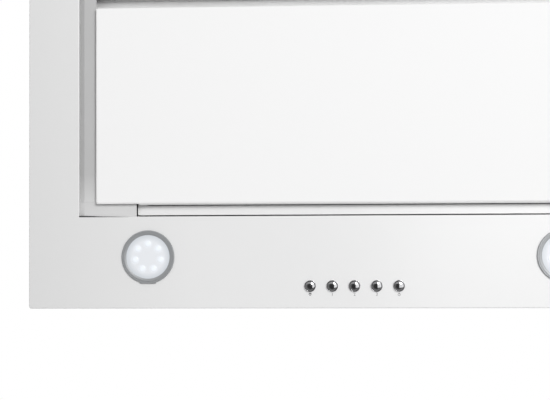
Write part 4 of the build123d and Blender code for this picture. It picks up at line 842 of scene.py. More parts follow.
@dataclass
class FaceFrame(SubAssembly):
    """The white frame that shows, the tray behind the slots, the strip and the printed marks.

    Attributes:
        buttons: The buttons' places.
        face_z: Height of the frame's face.
        mark_y: Where the marks stand.
        mark_height: Height of a figure.
        mark_proud: How far a mark stands out on either side of the face.
        shadow_line_width: Width of the black line of painted shadow at the strip's rear edge.
        shadow_line_proud: How far it stands out from the strip's face.
        shadow_line_back: How far it reaches behind the strip's edge.
        shadow_line_turn: Where the line turns in, from the strip's ends.
        shadow_line_run: How far it runs after the turn, along X and along Y.
        opening_half: Half the opening's length.
        opening_front: The opening's front edge.
        opening_back: Its rear edge.
        shadow_start: Length of the wide start of a corner's wedge of painted shadow.
        shadow_width: Its width there.
        shadow_out: How far it shows on the frame's face.
        shadow_length: Length of its tapered rest.
        shadow_depth: How far it reaches up from the face.
        plate_gap: Clearance round the small plates.
        plate_lift: How far the strip's end plate stands behind the strip's face.
        plate_thickness: Thickness of the small plates.
        plate_reach: How far the end plate reaches past the strip's end.
        plate_round: Rounding of the end plate's corners.
        joint_at: The tray's joint, where the corner plate starts.
        side_z: Height of the plate in the slot beside the panel.
        side_lap: How far it laps over the corner plate.
        side_in: Where that plate starts, from the middle.
        side_split: Where it is clear of the panel and runs on to the rear.
        side_back: Rear end of its wide part.
        side_end: Rear end of the rest.
        fold_run: Width of the plates' folded outer edge.
        fold_rise: How far that edge rises.
        step_z: Height of the corner plate's step.
        step_back: The step's rear end.
        step_run: Length of its slope up to the tray.
        step_round: Rounding of the bend between them.
        turned_up: How far the inner edge of the plate beside the panel turns in and up.
    """

    buttons: Sequence[Vector]
    face_z: float = 4.0 * MM
    mark_y: float = -134.0 * MM
    mark_height: float = 3.6 * MM
    mark_proud: float = 0.03 * MM
    shadow_line_width: float = 0.4 * MM
    shadow_line_proud: float = 0.12 * MM
    shadow_line_back: float = 0.5 * MM
    shadow_line_turn: float = 7.6 * MM
    shadow_line_run: float = 4.6 * MM
    opening_half: float = 221.5 * MM
    opening_front: float = -71.0 * MM
    opening_back: float = 109.0 * MM
    shadow_start: float = 4.0 * MM
    shadow_width: float = 0.75 * MM
    shadow_out: float = 0.4 * MM
    shadow_length: float = 36.0 * MM
    shadow_depth: float = 1.6 * MM
    plate_gap: float = 0.3 * MM
    plate_lift: float = 0.45 * MM
    plate_thickness: float = 0.6 * MM
    plate_reach: float = 0.35 * MM
    plate_round: float = 0.3 * MM
    joint_at: float = 174.85 * MM
    side_z: float = 4.5 * MM
    side_lap: float = 2.4 * MM
    side_in: float = 190.0 * MM
    side_split: float = 207.4 * MM
    side_back: float = 75.0 * MM
    side_end: float = 108.4 * MM
    fold_run: float = 4.2 * MM
    fold_rise: float = 2.6 * MM
    step_z: float = 4.6 * MM
    step_back: float = -57.0 * MM
    step_run: float = 12.0 * MM
    step_round: float = 2.0 * MM
    turned_up: float = 2.0 * MM

    def mark(self, text: str, x: float) -> bpy.types.Object:
        """Prints one figure below a button.

        Args:
            text: The figure.
            x: The button's place.

        Returns:
            The flat figure as a mesh.
        """
        Bench.clear()
        turned = (0.0, math.pi, 0.0)
        bpy.ops.object.text_add(location=(x, self.mark_y, self.face_z), rotation=turned)
        piece = bpy.context.active_object
        piece.data.body = text
        piece.data.size = self.mark_height
        piece.data.align_x = "CENTER"
        piece.data.align_y = "CENTER"
        piece.data.extrude = self.mark_proud
        bpy.ops.object.convert(target="MESH")
        return Bench.settle(bpy.context.active_object)

    def lamp_mark(self, x: float) -> list[bpy.types.Object]:
        """Prints a plain lamp figure: a shade over a bar."""
        low, high = self.face_z - self.mark_proud, self.face_z + self.mark_proud
        shade = Bench.drum("mark_shade", 1.25 * MM, low, high, (x, self.mark_y + 0.2 * MM), sides=24)
        with Bench.editing(shade):
            bpy.ops.mesh.select_all(action="SELECT")
            cut = (x, self.mark_y + 0.1 * MM, 0)
            bpy.ops.mesh.bisect(plane_co=cut, plane_no=(0, 1, 0), use_fill=True, clear_inner=True)
        start = (x - 0.6 * MM, self.mark_y - 0.9 * MM, low)
        bar = Bench.box("mark_bar", start, (x + 0.6 * MM, self.mark_y - 0.4 * MM, high))
        return [shade, bar]

    def power_mark(self, x: float) -> list[bpy.types.Object]:
        """Prints a plain power figure: a ring with a bar."""
        low, high = self.face_z - self.mark_proud, self.face_z + self.mark_proud
        ring = Bench.turned(
            "mark_ring",
            [(0.75 * MM, low), (1.1 * MM, low), (1.1 * MM, high), (0.75 * MM, high)],
            (x, self.mark_y - 0.1 * MM),
            steps=24,
        )
        start = (x - 0.18 * MM, self.mark_y + 0.2 * MM, low)
        bar = Bench.box("mark_stem", start, (x + 0.18 * MM, self.mark_y + 1.5 * MM, high))
        return [ring, bar]

    def strip_seal(self) -> bpy.types.Object:
        """Models the black line of painted shadow in the gap at the strip's rear edge, turned in at both
        ends.
        """
        low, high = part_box("front_strip")
        back = high.y
        start = (low.x + self.shadow_line_turn, back - self.shadow_line_width, low.z - self.shadow_line_proud)
        end = (high.x - self.shadow_line_turn, back + self.shadow_line_back, low.z + self.shadow_line_width)
        shadow_strip = Bench.box("strip_seal", start, end)
        with Bench.editing(shadow_strip):
            for side in (1, -1):
                Bench.pick(shadow_strip, lambda at, facing, side=side: facing.x * side > 0.9)
                Bench.push((side * self.shadow_line_run, -self.shadow_line_run, 0.0))
                centre = (0.0, back - self.shadow_line_run - self.shadow_line_width / 2, 0.0)
                bpy.ops.transform.resize(value=(1.0, 0.5, 1.0), center_override=centre)
        return shadow_strip

    def end_plate(self, side: int) -> bpy.types.Object:
        """Models the plate, pale with the strip's painted light, that closes the strip's cut corner at one
        end.

        Args:
            side: 1 for the right, -1 for the left.

        Returns:
            The plate.
        """
        low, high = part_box("front_strip")
        inner, outer = high.x - self.shadow_line_turn - self.plate_gap, high.x + self.plate_reach
        ends = sorted((side * inner, side * outer))
        base = low.z + self.plate_lift
        start = (ends[0], low.y + self.plate_gap, base)
        plate = Bench.box(f"strip_end_plate_{side}", start, (ends[1], high.y, base + self.plate_thickness))
        Bench.bevel(plate, lambda a, b: abs(a.z - b.z) > self.plate_thickness / 2, self.plate_round, 2)
        return plate

    def fold(self, plate: bpy.types.Object, side: int) -> None:
        """Folds a plate's outer edge up along the opening's wall.

        Args:
            plate: The plate.
            side: 1 for the right, -1 for the left.
        """
        with Bench.editing(plate):
            Bench.pick(plate, lambda at, facing: facing.x * side > 0.9)
            by = (side * (self.fold_run - 0.05 * MM), 0.0, self.fold_rise)
            Bench.push(by)

    def corner_plate(self, side: int) -> bpy.types.Object:
        """Models the bent plate that steps down from the tray in one front corner of the opening.

        Args:
            side: 1 for the right, -1 for the left.

        Returns:
            The plate.
        """
        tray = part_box("intake_tray")[0].z
        ends = sorted((side * self.joint_at, side * (self.opening_half - self.fold_run)))
        start = (ends[0], self.opening_front + 0.02 * MM, self.step_z)
        end = (ends[1], self.step_back, self.step_z + self.plate_thickness)
        plate = Bench.box(f"corner_plate_{side}", start, end)
        rise = tray - self.step_z - self.plate_thickness
        self.fold(plate, side)
        with Bench.editing(plate):
            Bench.pick(plate, lambda at, facing: facing.y > 0.9)
            Bench.push((0.0, self.step_run, rise))

        def on_bend(a: Vector, b: Vector) -> bool:
            """Whether an edge lies along the step's bend."""
            return max(abs(a.y - b.y), abs(a.z - b.z), abs(a.y - self.step_back)) < SAME

        Bench.bevel(plate, on_bend, self.step_round, 4)
        return plate

    def side_plate(self, side: int) -> bpy.types.Object:
        """Models the plate in the slot beside the panel, wide up to the hinges, its inner edge turned up.

        Args:
            side: 1 for the right, -1 for the left.

        Returns:
            The plate.
        """
        top = self.side_z + self.plate_thickness
        front = self.step_back - self.side_lap
        outer = sorted((side * self.side_split, side * (self.opening_half - self.fold_run)))
        start = (outer[0], front, self.side_z)
        plate = Bench.box(f"side_plate_{side}", start, (outer[1], self.side_end, top))
        self.fold(plate, side)
        inner = sorted((side * self.side_in, side * self.side_split))
        start = (inner[0], front, self.side_z)
        wide = Bench.box(f"side_plate_inner_{side}", start, (inner[1], self.side_back, top))
        with Bench.editing(wide):
            Bench.pick(wide, lambda at, facing: facing.x * side < -0.9)
            Bench.push((-side * self.turned_up, 0.0, self.turned_up))
        return Bench.weld([plate, wide])

    def corner_shadow(self, side: int, front: bool) -> bpy.types.Object:
        """Models a black tapered wedge of painted shadow at the opening's edge in one corner, where its wall
        lies in shade.

        Args:
            side: 1 for the right, -1 for the left.
            front: Whether it is a front corner.

        Returns:
            The wedge of painted shadow.
        """
        x, y = side * self.opening_half, self.opening_front if front else self.opening_back
        inward = 1 if front else -1
        name = f"corner_seam_{'front' if front else 'rear'}_{'right' if side > 0 else 'left'}"
        edge = y - inward * self.shadow_out
        x0, x1 = sorted((x, x - side * self.shadow_start))
        y0, y1 = sorted((edge, y + inward * self.shadow_width))
        low, high = (x0, y0, self.face_z - self.mark_proud), (x1, y1, self.face_z + self.shadow_depth)
        shadow_wedge = Bench.box(name, low, high)
        with Bench.editing(shadow_wedge):
            Bench.pick(shadow_wedge, lambda at, facing: facing.x * side < -0.9)
            for run, share in ((0.4, 0.5), (0.6, 0.12)):
                by = (-side * run * self.shadow_length, 0.0, 0.0)
                Bench.push(by)
                bpy.ops.transform.resize(value=(1.0, share, 1.0), center_override=(x, edge, self.face_z))
        return shadow_wedge

    def build(self) -> None:
        """Dresses the frame's nodes, models the black line and wedges of painted shadow, and prints the
        marks.
        """
        self.dress(FRAME_ENAMEL_PAINTED_SHADE, "face_frame")
        self.dress(STRIP_PAINTED_LIGHT, "front_strip")
        self.dress(TRAY_PAINTED_LIGHT, "intake_tray")
        # Black strip of painted shadow in the gap behind the strip's rear edge.
        Bench.seat(self.strip_seal(), Body.HOOD, PAINTED_SHADOW, "black_moulding")
        for side, name in ((1, "right"), (-1, "left")):
            # The end plates take the strip's painted light; the corner and slot plates take darker copies of
            # the white enamel as painted shade.
            plates = {
                "end": (self.end_plate(side), STRIP_PAINTED_LIGHT),
                "corner": (self.corner_plate(side), RECESS_PAINTED_SHADE),
                "slot": (self.side_plate(side), SLOT_PAINTED_SHADE),
            }
            for part, (plate, finish) in plates.items():
                plate.name = f"{name}_{part}_plate"
                Bench.seat(plate, Body.HOOD, finish, "white_enamel")
        # Black wedges of painted shadow where the opening's wall lies in shade at its corners.
        shadow_wedges = [self.corner_shadow(side, front) for side in (1, -1) for front in (True, False)]
        Bench.seat(Bench.weld(shadow_wedges, "corner_shadows"), Body.HOOD, PAINTED_SHADOW, "white_enamel")
        self.dress(PLATED, "flange_nuts", "strip_rivets")
        figures = self.power_mark(self.buttons[0].x) + self.lamp_mark(self.buttons[-1].x)
        for text, place in zip("321", self.buttons[1:-1]):
            figures.append(self.mark(text, place.x))
        Bench.seat(Bench.weld(figures, "button_marks"), Body.HOOD, PRINT, "white_enamel")


@dataclass
class SuctionPanel(SubAssembly):
    """The plate that covers the filter, with its pan, hinges and catches.

    Attributes:
        trim_half: Half the length of the pale trim on the plate's front edge.
        trim_width: How far it stands out.
        trim_low: Height of its lower edge.
        trim_high: Height of its upper edge.
        trim_round: Rounding of its front edges.
        edge_out: How far the glass's polished edge stands out in front.
        edge_side: How far it stands out at the sides.
        edge_sunk: How far it is sunk in the glass.
        edge_root: Its distance from the glass's two faces.
        edge_round: Its rounding, as a share of how far it stands out.
        pan_sheet: Thickness of the pan's sheet.
        pan_bead_length: Length of the beads in the pan's floor.
        pan_bead_height: How far they stand out.
        pan_bead_steps: Their places along Y.
    """

    trim_half: float = 172.0 * MM
    trim_width: float = 1.5 * MM
    trim_low: float = 0.9 * MM
    trim_high: float = 3.8 * MM
    trim_round: float = 0.4 * MM
    edge_out: float = 0.5 * MM
    edge_side: float = 0.35 * MM
    edge_sunk: float = 0.2 * MM
    edge_root: float = 0.3 * MM
    edge_round: float = 0.8
    pan_sheet: float = 1.0 * MM
    pan_bead_length: float = 300.0 * MM
    pan_bead_height: float = 1.1 * MM
    pan_bead_steps: tuple[float, ...] = (3.0 * MM, 35.0 * MM)

    def trim(self) -> bpy.types.Object:
        """Models the pale trim along the plate's front edge, rounded where it shows."""
        low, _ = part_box("panel_glass")
        start = (-self.trim_half, low.y - self.trim_width, self.trim_low)
        end = (self.trim_half, low.y - 0.02 * MM, self.trim_high)
        trim = Bench.box("panel_front_trim", start, end)
        front = low.y - self.trim_width / 2
        Bench.bevel(
            trim,
            lambda a, b: max(a.y, b.y) < front and abs(a.x - b.x) > self.trim_half,
            self.trim_round,
            3,
        )
        return trim

    def edge(self) -> bpy.types.Object:
        """Models the glass's polished edge along its front and its sides."""
        low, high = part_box("panel_glass")
        sunk, root = self.edge_sunk, self.edge_root
        inset = Vector((sunk, sunk, root))
        low, high = low + inset, high - inset
        corner = (low.x, low.y - sunk - self.edge_out, low.z)
        front = Bench.box("panel_edge", corner, (high.x, low.y, high.z))
        Bench.bevel(
            front,
            lambda a, b: max(a.y, b.y) < low.y - root and abs(a.x - b.x) > self.trim_half,
            self.edge_round * self.edge_out,
            3,
        )
        sides = [front]
        for x, out in ((low.x, -1), (high.x, 1)):
            ends = sorted((x, x + out * (sunk + self.edge_side)))
            side = Bench.box(f"panel_edge_{out}", (ends[0], low.y, low.z), (ends[1], high.y, high.z))
            Bench.bevel(
                side,
                lambda a, b: min(a.x * out, b.x * out) > x * out and abs(a.y - b.y) > root,
                self.edge_round * self.edge_side,
                3,
            )
            sides.append(side)
        return Bench.weld(sides)

    def pan_beads(self) -> bpy.types.Object:
        """Models the beads pressed up in the pan's floor."""
        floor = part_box("panel_carrier")[0].z + self.pan_sheet
        size = {"length": self.pan_bead_length, "height": self.pan_bead_height}
        beads = [
            Bead((0.0, y, floor), (0, 0, 1), (1, 0, 0), **size).model(f"pan_bead_{number}")
            for number, y in enumerate(self.pan_bead_steps)
        ]
        return Bench.weld(beads, "pan_beads")

    def build(self) -> None:
        """Models the trim, the edge and the beads, and dresses the panel's nodes."""
        Bench.seat(self.pan_beads(), Body.PANEL, GALVANISED, "galvanised")
        Bench.seat(self.trim(), Body.PANEL, TRIM, "white_glass")
        Bench.seat(self.edge(), Body.PANEL, PLATE_ENAMEL, "white_glass")
        self.dress(PLATE_ENAMEL, "panel_glass")
        self.dress(GALVANISED, "panel_carrier")
        self.dress(PLATED, "panel_hinge_leaves", "hinge_brackets", "hinge_pins", "panel_strikes")
        self.dress(MAGNET, "panel_magnets")


@dataclass
class GreaseFilter(SubAssembly):
    """The lift-out filter: a frame with expanded metal on both faces of a mesh pad.

    Attributes:
        columns: Meshes along X.
        rows: Meshes along Y.
        strand: Width of half a strand.
        sheet: Thickness of a skin.
        rolled: How much thinner its strands are.
    """

    columns: int = 48
    rows: int = 15
    strand: float = 0.5 * MM
    sheet: float = 0.6 * MM
    rolled: float = 0.2 * MM

    def skin(self, name: str, low: Vector, high: Vector, z: float) -> bpy.types.Object:
        """Models one sheet of expanded metal.

        Args:
            name: Its name.
            low: The skins' lowest corner.
            high: Their highest corner.
            z: The height of its underside.

        Returns:
            The sheet.
        """
        Bench.clear()
        middle = ((low.x + high.x) / 2, (low.y + high.y) / 2, z)
        bpy.ops.mesh.primitive_grid_add(
            x_subdivisions=self.columns, y_subdivisions=self.rows, size=1.0, location=middle
        )
        piece = bpy.context.active_object
        piece.scale = (high.x - low.x, high.y - low.y, 1.0)
        Bench.named(name)
        with Bench.editing(piece):
            bpy.ops.mesh.select_all(action="SELECT")
            bpy.ops.mesh.poke()
            bpy.ops.mesh.tris_convert_to_quads(face_threshold=math.pi, shape_threshold=math.pi)
            bpy.ops.mesh.select_all(action="SELECT")
            bpy.ops.mesh.inset(use_individual=True, thickness=self.strand, depth=0.0)
            bpy.ops.mesh.delete(type="FACE")
        Bench.modify(piece, "SOLIDIFY", thickness=self.sheet - self.rolled, offset=-1.0)
        return piece

    def build(self) -> None:
        """Models both skins and dresses the rest."""
        low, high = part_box("filter_skins")
        lower = self.skin("filter_mesh", low, high, low.z)
        upper = self.skin("filter_mesh_upper", low, high, high.z - self.sheet)
        pair = Bench.weld([lower, upper])
        Bench.seat(pair, Body.HOOD, FILTER_METAL, "filter_aluminium", ["filter_skins"])
        self.dress(FILTER_METAL, "filter_frame", "filter_core")
        self.dress(BLACK, "filter_latch")


@dataclass
class Lamp(SubAssembly):
    """One recessed lamp.

    Attributes:
        side: left or right.
        seen_radius: The radius that shows inside the ring.
        low: Height of the lens's seat on the ring.
        high: Height of its back.
        crown: How far its face stands below its seat.
        optic: Radius of each source's small dome.
        optic_height: How far a dome stands out.
        sources: How many sources there are.
        circle: Radius of the circle that they lie on.
        neck_radius: Outer radius of the ring's neck.
        flange_back: Height of the flange's back, which lies on the frame.
        bevel: The flange's outer bevel.
        groove_in: How far the ring's fine groove lies inside its edge.
        tab: Width of the square-ended tab on the ring's front edge.
        tab_round: Rounding of the tab's front edge.
    """

    side: str
    seen_radius: float = 17.5 * MM
    low: float = 3.0 * MM
    high: float = 4.6 * MM
    crown: float = 0.3 * MM
    optic: float = 2.7 * MM
    optic_height: float = 0.45 * MM
    sources: int = 7
    circle: float = 10.4 * MM
    neck_radius: float = 19.2 * MM
    flange_back: float = 4.0 * MM
    bevel: float = 0.5 * MM
    groove_in: float = 1.5 * MM
    tab: float = 12.6 * MM
    tab_round: float = 0.35 * MM

    def __post_init__(self) -> None:
        """Reads the lens's place and size from its CAD node."""
        lowest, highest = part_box(f"{self.side}_lamp_lens")
        self.x, self.y, _ = (lowest + highest) / 2
        self.lens_radius = (highest.x - lowest.x) / 2

    def face(self, radius: float) -> float:
        """Height of the crowned face at a radius."""
        share = radius / self.seen_radius
        return self.low - self.crown * (1.0 - share * share)

    def lens(self) -> bpy.types.Object:
        """Models the lens: a crowned face with a rim groove and a dome over each source."""
        steps = 10
        radii = [self.seen_radius * i / steps for i in range(steps + 1)]
        face = [(radius, self.face(radius)) for radius in radii]
        rim = [(self.lens_radius, self.low), (self.lens_radius, self.high), (0.0, self.high)]
        parts = [Bench.turned(f"{self.side}_lens", face + rim, (self.x, self.y))]
        for i in range(self.sources):
            turn = math.pi / 2 + i * math.tau / self.sources
            at = (self.x + self.circle * math.cos(turn), self.y + self.circle * math.sin(turn))
            base = self.face(self.circle + self.optic)
            bends = [k * math.pi / 12 for k in range(7)]
            dome = [(self.optic * math.sin(b), base - self.optic_height * math.cos(b)) for b in bends]
            dome.append((0.0, self.high - 0.2 * MM))
            parts.append(Bench.turned(f"{self.side}_optic_{i}", dome, at, steps=24))
        return Bench.weld(parts)

    def ring(self) -> bpy.types.Object:
        """Models the ring: a bevelled flange with a fine groove, a neck and a square-ended front tab."""
        lowest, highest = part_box(f"{self.side}_lamp_ring")
        outer, face, top = (highest.x - lowest.x) / 2, lowest.z, highest.z
        groove = outer - self.groove_in
        flange = [
            (self.seen_radius, self.low - 0.05 * MM),
            (self.seen_radius, self.low),
            (self.lens_radius, self.low),
            (self.lens_radius, top),
            (self.neck_radius, top),
            (self.neck_radius, self.flange_back),
            (outer, self.flange_back),
            (outer, face + self.bevel),
            (outer - self.bevel, face),
            (groove + 0.3 * MM, face),
            (groove + 0.15 * MM, face + 0.2 * MM),
            (groove - 0.15 * MM, face + 0.2 * MM),
            (groove - 0.3 * MM, face),
            (self.seen_radius + 1.5 * MM, face),
        ]
        ring = Bench.turned(f"{self.side}_ring", flange, (self.x, self.y))
        front = self.y - outer
        low = (self.x - self.tab / 2, front, face)
        high = (self.x + self.tab / 2, front + self.groove_in, self.flange_back)
        tab = Bench.box(f"{self.side}_tab", low, high)
        near = 0.01 * MM
        Bench.bevel(
            tab,
            lambda a, b: max(a.z, b.z) < face + near and max(a.y, b.y) < front + near,
            self.tab_round,
            2,
        )
        Bench.modify(ring, "BOOLEAN", operation="UNION", object=tab, solver="EXACT")
        bpy.data.objects.remove(tab)
        return ring

    def build(self) -> None:
        """Models the lens and the ring, and dresses the lamp's nodes."""
        glass = LitLens(
            f"{self.side}_lens_glow", (0.40, 0.41, 0.42), 0.35, grain_scale=1400.0, bump=0.00001,
            tint=(0.80, 0.82, 0.87), rough_shift=0.1, centre=(self.x, self.y), radius=self.seen_radius,
        )
        node = f"{self.side}_lamp"
        Bench.seat(self.lens(), Body.HOOD, glass, "lens", [f"{node}_lens"])
        Bench.seat(self.ring(), Body.HOOD, LAMP_RING, "lamp_ring_grey", [f"{node}_ring"])
        self.dress(BOARD, f"{node}_board")
        self.dress(HEAT_SINK, f"{node}_body")


@dataclass
class ButtonRow(SubAssembly):
    """The five plated push buttons, their bezels and the switches behind.

    Attributes:
        places: The buttons' places.
        cap_radius: A cap's radius.
        cap_low: Height of the middle of its face.
        crown: How far that middle stands out.
        skirt_top: Height of the top of its skirt.
        stem_radius: Radius of its stem.
        stem_top: Height of the stem's end.
        bezel_radius: Outer radius of a bezel's lip.
        bezel_low: Height of its lowest point.
        bezel_face: Height at which it lies on the frame.
        bezel_neck: Radius of its neck.
        bezel_bore: Radius of its bore.
        bezel_top: Height of the neck's end.
    """

    places: Sequence[Vector]
    cap_radius: float = 3.7 * MM
    cap_low: float = 1.4 * MM
    crown: float = 0.9 * MM
    skirt_top: float = 6.4 * MM
    stem_radius: float = 2.5 * MM
    stem_top: float = 16.4 * MM
    bezel_radius: float = 4.65 * MM
    bezel_low: float = 2.7 * MM
    bezel_face: float = 4.0 * MM
    bezel_neck: float = 4.6 * MM
    bezel_bore: float = 3.95 * MM
    bezel_top: float = 8.9 * MM

    def cap(self) -> bpy.types.Object:
        """Models a cap with its crowned face and stem, about the origin's axis."""
        ball = (self.cap_radius**2 + self.crown**2) / (2 * self.crown)
        rim = 0.25 * MM
        steps = 12
        reach = self.cap_radius - rim
        face = [
            (reach * i / steps, self.cap_low + ball - math.sqrt(ball**2 - (reach * i / steps) ** 2))
            for i in range(steps + 1)
        ]
        start = face[-1][1]
        side = [(self.cap_radius - 0.06 * MM, start + 0.12 * MM), (self.cap_radius, start + 0.32 * MM)]
        back = [
            (self.cap_radius, self.skirt_top),
            (self.stem_radius, self.skirt_top),
            (self.stem_radius, self.stem_top - 0.4 * MM),
            (self.stem_radius - 0.4 * MM, self.stem_top),
            (0.0, self.stem_top),
        ]
        return Bench.turned("push_button", face + side + back, (0.0, 0.0))

    def bezel(self) -> bpy.types.Object:
        """Models a bezel with a rolled lip, about the origin's axis."""
        radius = (self.bezel_radius - self.bezel_bore) / 2
        middle = (self.bezel_radius + self.bezel_bore) / 2
        turns = [k * math.pi / 10 for k in range(11)]
        low = self.bezel_low + radius
        lip = [(middle - radius * math.cos(turn), low - radius * math.sin(turn)) for turn in turns]
        rest = [
            (self.bezel_radius, self.bezel_face),
            (self.bezel_neck, self.bezel_face),
            (self.bezel_neck, self.bezel_top),
            (self.bezel_bore, self.bezel_top),
        ]
        return Bench.turned("button_bezel", lip + rest, (0.0, 0.0))

    def build(self) -> None:
        """Models one cap and one bezel, and copies them along the row."""
        cap, bezel = self.cap(), self.bezel()
        bezels = []
        for number, place in enumerate(self.places, start=1):
            by = (place.x, place.y, 0.0)
            made = Bench.copy(cap, f"push_button_{number}", by)
            Bench.seat(made, f"button_{number}", DARK_CHROME, "dark_chrome", [f"button_{number}"])
            bezels.append(Bench.copy(bezel, f"bezel_{number}", by))
        bpy.data.objects.remove(cap)
        bpy.data.objects.remove(bezel)
        row = Bench.weld(bezels, "button_bezels")
        Bench.seat(row, Body.HOOD, DARK_CHROME, "dark_chrome", ["button_rings"])
        self.dress(SWITCHES, "switch_housing")


@dataclass(frozen=True)
class Bead:
    """One stiffening bead pressed outward in a sheet.

    Attributes:
        place: Its middle, on the sheet's outer face.
        facing: The sheet's outward direction.
        along: The bead's own direction.
        length: Its length.
        width: Its width.
        height: How far it stands out.
        root: How far it reaches into the sheet.
        end_round: The rounding of its ends, as a share of the width.
        crown_round: The rounding of its crown, as a share of the height.
    """

    place: Point
    facing: Point
    along: Point
    length: float
    width: float = 12.0 * MM
    height: float = 1.4 * MM
    root: float = 0.1 * MM
    end_round: float = 0.48
    crown_round: float = 0.85

    def model(self, name: str) -> bpy.types.Object:
        """Models the bead with round ends and a rounded crown.

        Args:
            name: The piece's name.

        Returns:
            The bead in its place.
        """
        low = (-self.length / 2, -self.width / 2, -self.root)
        bead = Bench.box(name, low, (self.length / 2, self.width / 2, self.height))
        Bench.bevel(bead, lambda a, b: abs(a.z - b.z) > self.height / 2, self.end_round * self.width, 6)
        Bench.bevel(bead, lambda a, b: min(a.z, b.z) > 0.99 * self.height, self.crown_round * self.height, 4)
        return Bench.lay(bead, self.place, self.facing, self.along)


@dataclass
class BodyShell(SubAssembly):
    """The folded sheets of the hood's body, their pressed beads and what fastens them.

    Attributes:
        knee: Height at which the front wall turns into the slope.
        slope_end: Where the slope reaches the top, along Y.
        clinch_z: Height of the row of clinched joints along a wall's foot.
        clinch_pitch: Their pitch.
        clinch_width: Their width.
        clinch_height: How far they stand out.
    """

    knee: float = 87.2 * MM
    slope_end: float = -51.0 * MM
    clinch_z: float = 23.0 * MM
    clinch_pitch: float = 55.0 * MM
    clinch_width: float = 7.0 * MM
    clinch_height: float = 0.6 * MM

    def clinches(self, y: float, facing: int) -> list[Bead]:
        """Lays a row of round clinched joints along a wall's foot.

        Args:
            y: The wall's outer face.
            facing: 1 for the rear wall, -1 for the front one.

        Returns:
            The joints.
        """
        size = (self.clinch_width, self.clinch_width, self.clinch_height)
        return [
            Bead((step * self.clinch_pitch, y, self.clinch_z), (0, facing, 0), (1, 0, 0), *size)
            for step in range(-4, 5)
        ]

    def front_beads(self) -> list[Bead]:
        """Two beads and the clinches on the front wall, and four beads up the slope."""
        low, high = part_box("front_sheet")
        wall = [
            Bead((side * 0.120, low.y, 0.052), (0, -1, 0), (1, 0, 0), 0.150, 0.014, 1.6 * MM)
            for side in (1, -1)
        ]
        middle = ((low.y + self.slope_end) / 2, (self.knee + high.z) / 2)
        slope = [Bead((x, *middle), (0, -1, 1), (0, 1, 1), 0.078) for x in (-0.186, -0.062, 0.062, 0.186)]
        return wall + slope + self.clinches(low.y, -1)

    def side_beads(self) -> list[Bead]:
        """Two level beads on each side wall, above the springs, and three upright ones between them."""
        beads = []
        for side, name in ((1, "right_side_sheet"), (-1, "left_side_sheet")):
            low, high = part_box(name)
            x = high.x if side > 0 else low.x
            facing = (side, 0, 0)
            beads.append(Bead((x, 0.018, 0.113), facing, (0, 1, 0), 0.165))
            beads.append(Bead((x, 0.034, 0.143), facing, (0, 1, 0), 0.130))
            for y in (-0.093, 0.0, 0.093):
                beads.append(Bead((x, y, 0.061), facing, (0, 0, 1), 0.044, 0.010))
        return beads

    def rear_beads(self) -> list[Bead]:
        """Two long beads on the rear wall, three short ones between them and the clinches."""
        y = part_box("rear_sheet")[1].y
        long = [Bead((0.0, y, z), (0, 1, 0), (1, 0, 0), 0.400) for z in (0.048, 0.138)]
        short = [Bead((x, y, 0.093), (0, 1, 0), (1, 0, 0), 0.110) for x in (-0.145, 0.0, 0.145)]
        return long + short + self.clinches(y, 1)

    def top_beads(self) -> list[Bead]:
        """Three beads beside the duct and one in front of the terminal box."""
        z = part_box("top_sheet")[1].z
        beads = [Bead((x, 0.038, z), (0, 0, 1), (0, 1, 0), 0.120) for x in (-0.208, -0.168, -0.128)]
        return beads + [Bead((0.166, -0.008, z), (0, 0, 1), (1, 0, 0), 0.100)]

    def build(self) -> None:
        """Models the beads, and dresses the sheets and their fasteners."""
        sheets = ("front_sheet", "rear_sheet", "left_side_sheet", "right_side_sheet", "top_sheet")
        self.dress(GALVANISED, *sheets)
        self.dress(PLATED, "side_rivets", "top_sheet_screws", "side_springs")
        groups = {
            "front": self.front_beads(),
            "side": self.side_beads(),
            "rear": self.rear_beads(),
            "top": self.top_beads(),
        }
        for name, beads in groups.items():
            made = [bead.model(f"{name}_bead_{number}") for number, bead in enumerate(beads)]
            Bench.seat(Bench.weld(made, f"{name}_beads"), Body.HOOD, GALVANISED, "galvanised")


